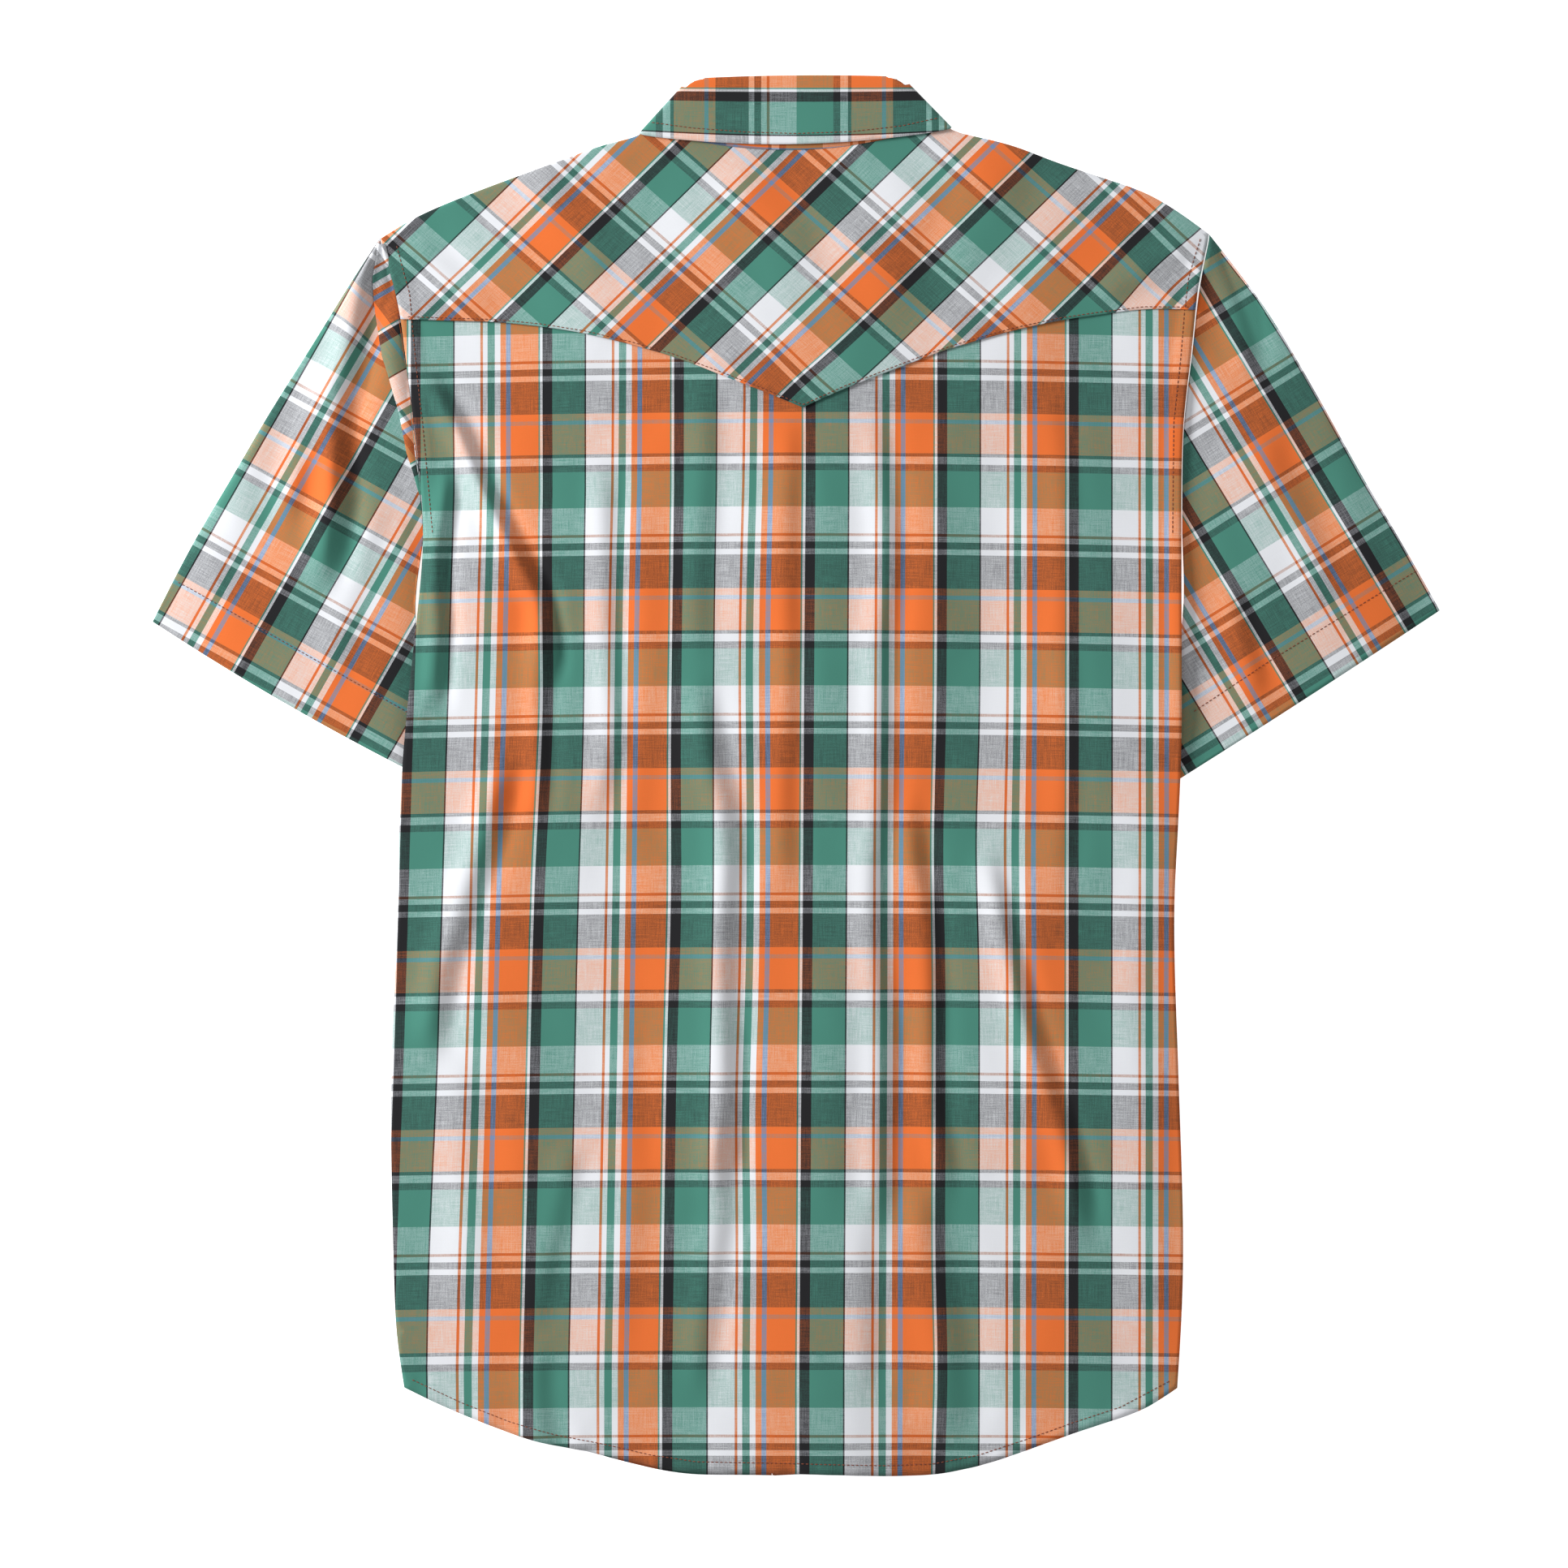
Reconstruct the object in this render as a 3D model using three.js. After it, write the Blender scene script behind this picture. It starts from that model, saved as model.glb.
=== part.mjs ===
// Western snap shirt with short sleeves, laid flat on its front with its back up.
// Millimetres. X runs to the right as seen from above, Y towards the collar, Z up.
import * as THREE from 'three';

// Driving sizes
const WALL = 1.2;
const GAP = 0.3;
const LAYER = WALL + GAP;
const CENTRE_X = 3.7;
const PLACKET_WIDTH = 34.8;
const CAP_HEIGHT = 1.6;
const CAP_RADIUS = 5.5;
const CAP_COUNT = 7;
const CAP_FIRST_Y = 247;
const CAP_PITCH = 92;
const CAP_LIFT = CAP_HEIGHT + GAP;
const YOKE_LAP = 10;
const YOKE_WRAP = 30;
const FOLD_RADIUS = LAYER / 2;
const COLLAR_LIFT = LAYER;
const SLEEVE_LIFT = 3.3;
const NECK_EASE = 0.8;
const ARMHOLE_EASE = 0.5;

// Half outline of the body from hem corner to shoulder, a row per height.
const bodySides = [
  { y: -352, left: -224.5, right: 218.6 },
  { y: -342, left: -228.3, right: 219.5 },
  { y: -277, left: -231.1, right: 222.3 },
  { y: -174, left: -232.5, right: 219.5 },
  { y: -81, left: -228.6, right: 216.7 },
  { y: -21, left: -227.4, right: 219.5 },
  { y: 12, left: -225.5, right: 220.9 },
  { y: 73, left: -219.5, right: 220.9 },
  { y: 138, left: -213.4, right: 220.9 },
  { y: 203, left: -219.5, right: 221.8 },
  { y: 240, left: -224.1, right: 226.6 },
  { y: 262, left: -226.9, right: 228.6 },
  { y: 278, left: -230.2, right: 230.2 },
  { y: 296, left: -235.3, right: 233.9 },
  { y: 308, left: -238.2, right: 236.6 },
];

// Hem of the back, a row per place across.
const hemLine = [
  { x: -226, y: -350.5 },
  { x: -205, y: -361 },
  { x: -177, y: -372.5 },
  { x: -149, y: -382.5 },
  { x: -121, y: -387.5 },
  { x: -94, y: -393.5 },
  { x: -66, y: -399.5 },
  { x: -24, y: -400 },
  { x: 18, y: -401 },
  { x: 60, y: -402 },
  { x: 88, y: -400 },
  { x: 116, y: -393 },
  { x: 144, y: -383 },
  { x: 172, y: -373 },
  { x: 200, y: -364 },
  { x: 220, y: -350.5 },
];

// Lower edge of the yoke, with its one point at the centre.
const yokeEdge = [
  { x: -227, y: 261.7 },
  { x: -196, y: 260.7 },
  { x: -172, y: 260.3 },
  { x: -145, y: 257.5 },
  { x: -120, y: 253.3 },
  { x: -100, y: 248.6 },
  { x: -68, y: 239.8 },
  { x: -42, y: 229 },
  { x: -13.7, y: 218.3 },
  { x: 3.7, y: 210.9 },
  { x: 28, y: 222 },
  { x: 49, y: 230 },
  { x: 85, y: 243.9 },
  { x: 106, y: 250 },
  { x: 129, y: 256.5 },
  { x: 157, y: 262.1 },
  { x: 180, y: 264.9 },
  { x: 202, y: 268.6 },
  { x: 229, y: 266.8 },
];

// Line of the shoulder folds and of the neck seam between them.
const shoulderLine = [
  { x: -237.5, y: 307.5 },
  { x: -219.5, y: 319 },
  { x: -191.5, y: 331.1 },
  { x: -163.5, y: 341.4 },
  { x: -135.5, y: 351.6 },
  { x: -107.5, y: 362 },
  { x: -98, y: 364 },
  { x: -90, y: 365.2 },
  { x: -85, y: 370.5 },
  { x: -45, y: 366.2 },
  { x: 0, y: 364.8 },
  { x: 45, y: 367.2 },
  { x: 84.1, y: 373.4 },
  { x: 89.2, y: 368.2 },
  { x: 102, y: 366 },
  { x: 130, y: 359 },
  { x: 144, y: 352.4 },
  { x: 172, y: 343.1 },
  { x: 200, y: 334 },
  { x: 214, y: 325.8 },
  { x: 228, y: 317.2 },
  { x: 235.8, y: 310.3 },
];

// Folds of the back: where each starts and ends, how wide and how high it stands.
const backFolds = [
  { x1: -128, y1: 165, x2: -134, y2: -95, width: 21, height: 2.4 },
  { x1: -62, y1: 205, x2: -60, y2: -300, width: 24, height: 3.1 },
  { x1: 12, y1: -70, x2: 22, y2: -385, width: 23, height: 2.6 },
  { x1: 76, y1: 215, x2: 70, y2: -20, width: 22, height: 2.6 },
  { x1: 143, y1: 235, x2: 146, y2: -80, width: 22, height: 2.7 },
  { x1: 128, y1: -120, x2: 156, y2: -330, width: 18, height: 2.1 },
  { x1: -170, y1: -30, x2: -164, y2: -330, width: 20, height: 2.2 },
  { x1: -196, y1: 165, x2: -168, y2: 85, width: 13, height: 1.5 },
];

// Folds of the sleeves, measured along (0 armhole, 1 hem) and across (0 top fold, 1 underarm).
const sleeveFolds = [
  { along1: 0.0, across1: 0.35, along2: 1.0, across2: 0.3, width: 0.11, height: 1.1 },
  { along1: 0.1, across1: 0.62, along2: 1.0, across2: 0.55, width: 0.09, height: 0.8 },
];

// Plan of each sleeve: top fold from shoulder to hem, underarm seam from body to hem.
const sleeves = {
  left: {
    side: -1,
    topFold: [
      { x: -238.9, y: 308.6 },
      { x: -256.3, y: 282.2 },
      { x: -279.1, y: 244.9 },
      { x: -302.9, y: 207.6 },
      { x: -324.3, y: 170.3 },
      { x: -346.7, y: 133 },
      { x: -369.5, y: 88.3 },
    ],
    underarm: [
      { x: -214, y: 137.5 },
      { x: -219, y: 92 },
      { x: -212.5, y: 39.8 },
      { x: -207.8, y: -4.4 },
    ],
    hemSag: 2.5,
  },
  right: {
    side: 1,
    topFold: [
      { x: 237.3, y: 310.3 },
      { x: 266.1, y: 273.2 },
      { x: 283.8, y: 244.9 },
      { x: 305.2, y: 207.6 },
      { x: 325.7, y: 170.3 },
      { x: 348.1, y: 133 },
      { x: 369.5, y: 94.8 },
    ],
    underarm: [
      { x: 221.6, y: 137.5 },
      { x: 222, y: 92 },
      { x: 212, y: 35.2 },
      { x: 203.2, y: -12.6 },
    ],
    hemSag: 0.6,
  },
};

// Plan of the collar on either side: fold corner, leaf corner and neck point at the turn,
// then the control points of fold, leaf edge and neck seam down the front.
const collarSides = {
  left: {
    outward: [-0.739, 0.674],
    foldCorner: [-58.9, 399.1],
    leafCorner: [-88.3, 366.9],
    neckPoint: [-83.9, 371.7],
    foldBend: [-56, 318],
    foldEnd: [3.2, 291],
    leafBend: [-96, 300],
    leafTip: [-47.1, 230.9],
    seamBends: [[-86, 310], [-45, 265]],
    seamEnd: [3.2, 263.5],
  },
  right: {
    outward: [0.718, 0.696],
    foldCorner: [58.1, 400.2],
    leafCorner: [87.4, 370.1],
    neckPoint: [83, 374.6],
    foldBend: [60, 319],
    foldEnd: [4.2, 291],
    leafBend: [98, 302],
    leafTip: [54.5, 230.9],
    seamBends: [[86, 312], [50, 265]],
    seamEnd: [4.2, 263.5],
  },
};
const COLLAR_MID_Z = COLLAR_LIFT + WALL + GAP / 2;
const LEAF_RADIUS = 1.5 * LAYER;
const STAND_RADIUS = 0.5 * LAYER;
const LEAF_SAG = 6.7;
const SEAM_SAG = 6.1;
const BACK_CELLS = 8;
const TURN_CELLS = 4;

// Lattice of the body
const SIDE_CELLS = 8;
const NECK_CELLS = 4;
const BODY_ROWS = 20;
const YOKE_ROWS = 7;
const FRONT_ROWS = 6;
const NECK_LEFT_X = -85;
const NECK_RIGHT_X = 84.1;
const NOTCH_LEFT_X = -90;
const NOTCH_RIGHT_X = 89.2;

const mix = (a, b, t) => a + (b - a) * t;
const clamp = (t) => Math.min(1, Math.max(0, t));
const ease = (t) => clamp(t) * clamp(t) * (3 - 2 * clamp(t));
const ramp = (v, from, to) => ease((v - from) / (to - from));

// Straight reading of a table, and a smooth one with a cubic between its rows.
function readLine(table, key, value, at) {
  let i = 0;
  while (i < table.length - 2 && at > table[i + 1][key]) i += 1;
  const a = table[i];
  const b = table[i + 1];
  return mix(a[value], b[value], (at - a[key]) / (b[key] - a[key]));
}

function readCurve(table, key, value, at) {
  let i = 0;
  while (i < table.length - 2 && at > table[i + 1][key]) i += 1;
  const a = table[i];
  const b = table[i + 1];
  const before = table[Math.max(0, i - 1)];
  const after = table[Math.min(table.length - 1, i + 2)];
  const span = b[key] - a[key];
  const slopeA = (b[value] - before[value]) / (b[key] - before[key]);
  const slopeB = (after[value] - a[value]) / (after[key] - a[key]);
  const t = clamp((at - a[key]) / span);
  const t2 = t * t;
  const t3 = t2 * t;
  return (2 * t3 - 3 * t2 + 1) * a[value] + (t3 - 2 * t2 + t) * span * slopeA
    + (3 * t2 - 2 * t3) * b[value] + (t3 - t2) * span * slopeB;
}

function readPath(points, t) {
  const rows = points.map((p, i) => ({ t: i / (points.length - 1), x: p.x, y: p.y }));
  return [readCurve(rows, 't', 'x', t), readCurve(rows, 't', 'y', t)];
}

const bezier = (p, t) => {
  if (p.length === 1) return p[0];
  const next = p.slice(1).map((q, i) => [mix(p[i][0], q[0], t), mix(p[i][1], q[1], t)]);
  return bezier(next, t);
};

const leftEdge = (y) => readCurve(bodySides, 'y', 'left', y);
const rightEdge = (y) => readCurve(bodySides, 'y', 'right', y);
const placketLeft = CENTRE_X - PLACKET_WIDTH / 2;
const placketRight = CENTRE_X + PLACKET_WIDTH / 2;

// Columns of the lattice: shares of the width between a side and the placket, and the placket.
function sideShares(edgeX, notchX, neckX, placketX) {
  const shares = [];
  const notch = (notchX - edgeX) / (placketX - edgeX);
  const neck = (neckX - edgeX) / (placketX - edgeX);
  for (let i = 0; i <= SIDE_CELLS; i += 1) shares.push(notch * i / SIDE_CELLS);
  for (let i = 0; i <= NECK_CELLS; i += 1) shares.push(mix(neck, 1, i / NECK_CELLS));
  return shares;
}
const leftShares = sideShares(-237.5, NOTCH_LEFT_X, NECK_LEFT_X, placketLeft);
const rightShares = sideShares(235.8, NOTCH_RIGHT_X, NECK_RIGHT_X, placketRight);
const PLACKET_FIRST = leftShares.length - 1;
const PLACKET_LAST = PLACKET_FIRST + 2;
const COLUMNS = PLACKET_LAST + rightShares.length - 1;
const NECK_FIRST = SIDE_CELLS + 1;
const NECK_LAST = COLUMNS - SIDE_CELLS - 1;

function columnX(i, y) {
  if (i <= PLACKET_FIRST) return mix(leftEdge(y), placketLeft, leftShares[i]);
  if (i < PLACKET_LAST) return CENTRE_X;
  return mix(rightEdge(y), placketRight, rightShares[COLUMNS - i]);
}

// Height at which a column crosses a line across the body.
function crossing(i, line) {
  let y = line(0);
  for (let step = 0; step < 12; step += 1) y = line(columnX(i, y));
  return y;
}
const hemAt = (x) => readCurve(hemLine, 'x', 'y', x);
const yokeAt = (x) => readLine(yokeEdge, 'x', 'y', x);
const shoulderAt = (x) => readLine(shoulderLine, 'x', 'y', x);
const hemY = [];
const yokeY = [];
const shoulderY = [];
for (let i = 0; i <= COLUMNS; i += 1) {
  hemY.push(crossing(i, hemAt));
  yokeY.push(crossing(i, yokeAt));
  shoulderY.push(crossing(i, shoulderAt));
}

// Heights of the layers over the ground
const placketSpan = (x) => Math.min(
  ramp(x, placketLeft - 52, placketLeft),
  ramp(x, placketRight + 52, placketRight),
);
const belowNeck = (y) => ramp(y, 345, 275);
const collarLift = (x, y) => COLLAR_LIFT * ramp(Math.abs(x), 195, 112) * ramp(y, 145, 212);
const sleeveSpan = (x) => Math.max(ramp(x, -135, -178), ramp(x, 135, 172));
const sleeveLift = (x, y) => SLEEVE_LIFT * sleeveSpan(x) * Math.min(ramp(y, 142, 104), ramp(y, -78, -38));
function frontBase(x, y) {
  const placket = CAP_LIFT * placketSpan(x) * belowNeck(y);
  return Math.max(collarLift(x, y), placket, 0) + sleeveLift(x, y);
}
const lapLift = (x, y) => LAYER * placketSpan(x) * belowNeck(y);

function foldHeight(x, y) {
  let sum = 0;
  for (const fold of backFolds) {
    const t = (fold.y1 - y) / (fold.y1 - fold.y2);
    const off = (x - mix(fold.x1, fold.x2, t)) / fold.width;
    const ends = ramp(t, -0.12, 0.25) * ramp(t, 1.12, 0.7);
    sum += fold.height * ends * Math.exp(-off * off * 1.4);
  }
  return Math.min(sum, 3.5);
}
const backBase = (x, y) => frontBase(x, y) + lapLift(x, y) + LAYER + foldHeight(x, y);

// Closed solid from a lattice of wall points; cells left out by keep stay open.
function clothSolid(columns, rows, at, keep = () => true) {
  const positions = [];
  const index = [];
  const ids = new Map();
  const vertex = (i, j, outer) => {
    const key = `${i},${j},${outer}`;
    if (!ids.has(key)) {
      const p = at(i, j);
      const shift = outer ? WALL / 2 : -WALL / 2;
      ids.set(key, positions.length / 3);
      positions.push(p.x + p.n[0] * shift, p.y + p.n[1] * shift, p.z + p.n[2] * shift);
    }
    return ids.get(key);
  };
  const quad = (a, b, c, d) => index.push(a, b, c, a, c, d);
  const kept = (i, j) => i >= 0 && j >= 0 && i < columns && j < rows && keep(i, j);
  const wall = (i1, j1, i2, j2) => {
    quad(vertex(i1, j1, false), vertex(i2, j2, false), vertex(i2, j2, true), vertex(i1, j1, true));
  };
  for (let i = 0; i < columns; i += 1) {
    for (let j = 0; j < rows; j += 1) {
      if (!kept(i, j)) continue;
      quad(vertex(i, j, true), vertex(i + 1, j, true), vertex(i + 1, j + 1, true), vertex(i, j + 1, true));
      quad(vertex(i, j, false), vertex(i, j + 1, false), vertex(i + 1, j + 1, false), vertex(i + 1, j, false));
      if (!kept(i, j - 1)) wall(i, j, i + 1, j);
      if (!kept(i + 1, j)) wall(i + 1, j, i + 1, j + 1);
      if (!kept(i, j + 1)) wall(i + 1, j + 1, i, j + 1);
      if (!kept(i - 1, j)) wall(i, j + 1, i, j);
    }
  }
  const geometry = new THREE.BufferGeometry();
  geometry.setAttribute('position', new THREE.Float32BufferAttribute(positions, 3));
  geometry.setIndex(index);
  geometry.computeVertexNormals();
  return geometry;
}

const UP = [0, 0, 1];
const slots = {
  shirting: { color: 0xb9a08c, roughness: 0.9, metalness: 0 },
  snap: { color: 0xd8d4cc, roughness: 0.3, metalness: 0.2 },
};
const shirt = new THREE.Group();
shirt.name = 'western_snap_shirt';
function add(name, geometry, slot) {
  const material = new THREE.MeshStandardMaterial(slots[slot]);
  material.name = `${slot}_${name}`;
  const mesh = new THREE.Mesh(geometry, material);
  mesh.name = name;
  shirt.add(mesh);
}

// Rows of the back: even from the hem to the yoke edge, one for the lap, even to the shoulder.
function backRowY(i, j) {
  if (j <= BODY_ROWS) return mix(hemY[i], yokeY[i], j / BODY_ROWS);
  const lap = yokeY[i] + YOKE_LAP;
  return mix(lap, shoulderY[i], (j - BODY_ROWS - 1) / YOKE_ROWS);
}

// Back panel: lies on the fronts, its top edge under the lap of the yoke
add('back_panel', clothSolid(COLUMNS, BODY_ROWS + 1, (i, j) => {
  const y = backRowY(i, j);
  const x = columnX(i, y);
  return { x, y, z: backBase(x, y) + WALL / 2, n: UP };
}), 'shirting');

// Back yoke: laps over the back panel, turns over each shoulder and ends in the front seam
const FOLD_STEPS = 3;
const WRAP_STEPS = 2;
const shoulderTurn = (i) => {
  const side = i <= NECK_FIRST ? -1 : 1;
  return [side * 0.4, 0.917];
};
function yokePoint(i, j) {
  const row = j + BODY_ROWS;
  const top = BODY_ROWS + 1 + YOKE_ROWS;
  if (row <= top) {
    const y = backRowY(i, row);
    const x = columnX(i, y);
    const rise = 1 - ease((row - BODY_ROWS - 1) / YOKE_ROWS);
    const z = frontBase(x, y) + lapLift(x, y) + LAYER + (foldHeight(x, y) + LAYER) * Math.min(1, rise);
    return { x, y, z: z + WALL / 2, n: UP };
  }
  const y = shoulderY[i];
  const x = columnX(i, y);
  const [outX, outY] = shoulderTurn(i);
  const middle = frontBase(x, y) + WALL + GAP / 2;
  if (row <= top + FOLD_STEPS) {
    const angle = Math.PI * (row - top) / FOLD_STEPS;
    const out = Math.sin(angle);
    const up = Math.cos(angle);
    const n = [outX * out, outY * out, up];
    return { x: x + n[0] * FOLD_RADIUS, y: y + n[1] * FOLD_RADIUS, z: middle + up * FOLD_RADIUS, n };
  }
  const down = YOKE_WRAP * (row - top - FOLD_STEPS) / WRAP_STEPS;
  const under = Math.max(leftEdge(y - down), Math.min(rightEdge(y - down), x));
  const shift = i === 0 || i === COLUMNS ? columnX(i, y - down) : under;
  return { x: shift, y: y - down, z: frontBase(shift, y - down) + WALL / 2, n: [0, 0, -1] };
}
const yokeTop = 1 + YOKE_ROWS;
add('back_yoke', clothSolid(
  COLUMNS,
  yokeTop + FOLD_STEPS + WRAP_STEPS,
  yokePoint,
  (i, j) => j < yokeTop || i < NECK_FIRST || i >= NECK_LAST,
), 'shirting');

// Neck seam of each front as a curve, and the share along it at a given place across
function seamCurve(side) {
  const c = collarSides[side];
  return [c.neckPoint, ...c.seamBends, c.seamEnd];
}
function seamShareAtX(side, x) {
  let low = 0.25;
  let high = 1;
  const away = (t) => Math.abs(bezier(seamCurve(side), t)[0] - collarSides[side].seamEnd[0]);
  const wanted = Math.abs(x - collarSides[side].seamEnd[0]);
  for (let step = 0; step < 40; step += 1) {
    const middle = (low + high) / 2;
    if (away(middle) > wanted) low = middle;
    else high = middle;
  }
  return (low + high) / 2;
}
function seamShareAtY(side, y) {
  let low = 0;
  let high = 1;
  for (let step = 0; step < 40; step += 1) {
    const middle = (low + high) / 2;
    if (bezier(seamCurve(side), middle)[1] > y) low = middle;
    else high = middle;
  }
  return (low + high) / 2;
}

// Top edge of the fronts: the seam under the yoke beside the neck, the neckline across it
const frontTop = [];
for (let i = 0; i <= COLUMNS; i += 1) {
  if (i <= NECK_FIRST || i >= NECK_LAST) {
    frontTop.push(shoulderY[i] - YOKE_WRAP - GAP);
    continue;
  }
  const side = i < (PLACKET_FIRST + PLACKET_LAST) / 2 ? 'left' : 'right';
  const x = columnX(i, 290);
  const share = i === (PLACKET_FIRST + PLACKET_LAST) / 2 ? 1 : seamShareAtX(side, x);
  frontTop.push(bezier(seamCurve(side), share)[1] - NECK_EASE);
}
function frontRowY(i, j) {
  if (j <= BODY_ROWS) return mix(hemY[i], yokeY[i], j / BODY_ROWS);
  return mix(yokeY[i], frontTop[i], (j - BODY_ROWS) / FRONT_ROWS);
}
const frontPoint = (lift, trim) => (i, j) => {
  const y = frontRowY(i, j);
  const x = columnX(i, y);
  return { x: x + trim(i), y: y - hemDrop(i, j), z: frontBase(x, y) + lift(x, y) + WALL / 2, n: UP };
};
const hemDrop = (i, j) => (j === 0 && i > 6 && i <= PLACKET_FIRST ? 1.4 : 0);

// Left front: from the left side to the placket
add('left_front', clothSolid(
  PLACKET_FIRST,
  BODY_ROWS + FRONT_ROWS,
  frontPoint(() => 0, (i) => (i === PLACKET_FIRST ? -GAP : 0)),
), 'shirting');

// Placket: the band at the edge of the left front
add('front_placket', clothSolid(
  COLUMNS,
  BODY_ROWS + FRONT_ROWS,
  frontPoint(() => 0, () => 0),
  (i) => i >= PLACKET_FIRST && i < PLACKET_LAST,
), 'shirting');

// Right front: its edge lies over the placket, inside the shirt
add('right_front', clothSolid(
  COLUMNS,
  BODY_ROWS + FRONT_ROWS,
  frontPoint(lapLift, (i) => (i === PLACKET_FIRST ? 1 : 0)),
  (i) => i >= PLACKET_FIRST,
), 'shirting');

// Stations round the collar: left front end, left turn, back, right turn, right front end
function collarStations() {
  const stations = [];
  const shares = (side) => {
    const first = side === 'left' ? NECK_FIRST : NECK_LAST;
    const step = side === 'left' ? 1 : -1;
    const list = [0, seamShareAtY(side, shoulderY[first] - YOKE_WRAP)];
    for (let k = 1; k <= NECK_CELLS; k += 1) {
      list.push(seamShareAtX(side, columnX(first + step * k, 290)));
    }
    list.push(1);
    return list;
  };
  const front = (side) => shares(side).map((t, k, list) => {
    const c = collarSides[side];
    const leafShare = clamp(t / list[list.length - 2]);
    return {
      fold: bezier([c.foldCorner, c.foldBend, c.foldEnd], t),
      leaf: bezier([c.leafCorner, c.leafBend, c.leafTip], leafShare),
      seam: bezier(seamCurve(side), t),
      n: [0, 0, -1],
    };
  });
  const turn = (side) => {
    const list = [];
    const c = collarSides[side];
    for (let k = 1; k < TURN_CELLS; k += 1) {
      const angle = Math.PI * k / TURN_CELLS;
      const out = Math.sin(angle);
      const n = [c.outward[0] * out, c.outward[1] * out, -Math.cos(angle)];
      list.push({ fold: c.foldCorner, leaf: c.leafCorner, seam: c.neckPoint, n });
    }
    return list;
  };
  stations.push(...front('left').reverse(), ...turn('left'));
  const l = collarSides.left;
  const r = collarSides.right;
  for (let k = 0; k <= BACK_CELLS; k += 1) {
    const t = k / BACK_CELLS;
    const sag = 4 * t * (1 - t);
    const across = (a, b, drop) => [mix(a[0], b[0], t), mix(a[1], b[1], t) - drop * sag];
    stations.push({
      fold: across(l.foldCorner, r.foldCorner, -0.9),
      leaf: across(l.leafCorner, r.leafCorner, LEAF_SAG),
      seam: across(l.neckPoint, r.neckPoint, SEAM_SAG),
      n: UP,
    });
  }
  stations.push(...turn('right').reverse(), ...front('right'));
  return stations;
}
const stations = collarStations();

// A point of the collar between its outer and fold lines, at a distance from the middle
function collarPoint(from, to, share, station, radius) {
  const n = station.n;
  return {
    x: mix(from[0], to[0], share) + n[0] * radius,
    y: mix(from[1], to[1], share) + n[1] * radius,
    z: COLLAR_MID_Z + n[2] * radius,
    n,
  };
}
function unitTo(from, to) {
  const length = Math.hypot(to[0] - from[0], to[1] - from[1]);
  return [(to[0] - from[0]) / length, (to[1] - from[1]) / length];
}

// Collar leaf: from its free edge to the fold, then hooked over the top of the stand
const LEAF_CELLS = 3;
const HOOK_CELLS = 3;
const leafStations = stations.slice(1, -1);
add('collar_leaf', clothSolid(leafStations.length - 1, LEAF_CELLS + HOOK_CELLS, (i, j) => {
  const station = leafStations[i];
  const share = Math.min(1, j / LEAF_CELLS);
  const p = collarPoint(station.leaf, station.fold, share, station, LEAF_RADIUS);
  if (j <= LEAF_CELLS) return p;
  const [fx, fy] = unitTo(station.leaf, station.fold);
  const angle = Math.PI * (j - LEAF_CELLS) / HOOK_CELLS;
  const along = Math.sin(angle);
  const over = Math.cos(angle);
  const n = [station.n[0] * over + fx * along, station.n[1] * over + fy * along, station.n[2] * over];
  const drop = (over - 1) * FOLD_RADIUS;
  return {
    x: p.x + fx * along * FOLD_RADIUS + station.n[0] * drop,
    y: p.y + fy * along * FOLD_RADIUS + station.n[1] * drop,
    z: p.z + station.n[2] * drop,
    n,
  };
}), 'shirting');

// Collar stand: from the neck seam up to the end of the hook
const STAND_CELLS = 2;
add('collar_stand', clothSolid(stations.length - 1, STAND_CELLS, (i, j) => {
  const station = stations[i];
  const [fx, fy] = unitTo(station.seam, station.fold);
  const top = [station.fold[0] - fx * 2 * GAP, station.fold[1] - fy * 2 * GAP];
  return collarPoint(station.seam, top, j / STAND_CELLS, station, STAND_RADIUS);
}), 'shirting');

// Sleeve: a flattened tube from the armhole to the hem, its two folds rounded
const SLEEVE_STATIONS = 10;
const SLEEVE_CELLS = 8;
const END_ROUND = 2;
function sleevePlan(s, along, across) {
  const armholeY = (w) => mix(s.topFold[0].y, s.underarm[0].y, w);
  const edge = s.side < 0 ? leftEdge : rightEdge;
  const armhole = (w) => [edge(armholeY(w)) + s.side * ARMHOLE_EASE, armholeY(w)];
  const foldEnd = s.topFold[s.topFold.length - 1];
  const seamEnd = s.underarm[s.underarm.length - 1];
  const hem = (w) => {
    const sag = s.hemSag * 4 * w * (1 - w);
    return [mix(foldEnd.x, seamEnd.x, w) + s.side * sag * 0.5, mix(foldEnd.y, seamEnd.y, w) - sag];
  };
  const fold = readPath(s.topFold, along);
  const seam = readPath(s.underarm, along);
  const a = armhole(across);
  const h = hem(across);
  const corner = (k) => mix(
    mix(armhole(0)[k], hem(0)[k], along),
    mix(armhole(1)[k], hem(1)[k], along),
    across,
  );
  return [0, 1].map((k) => mix(a[k], h[k], along) + mix(fold[k], seam[k], across) - corner(k));
}
function sleeveHollow(s, along, across) {
  const body = Math.sin(Math.PI * clamp(across / 0.78)) ** 2 * ramp(across, 0.8, 0.5);
  let rise = 1.1 * body * ramp(along, 0, 0.3);
  for (const fold of sleeveFolds) {
    const t = (along - fold.along1) / (fold.along2 - fold.along1);
    const off = (across - mix(fold.across1, fold.across2, t)) / fold.width;
    rise += fold.height * ramp(t, 0, 0.2) * Math.exp(-off * off * 1.4);
  }
  const lap = ramp(across, 0.02, 0.22) * ramp(across, 0.5, 0.34) * ramp(along, 0.22, 0);
  return rise * ramp(across, 0.85, 0.7) + LAYER * 0.8 * lap;
}
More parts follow.
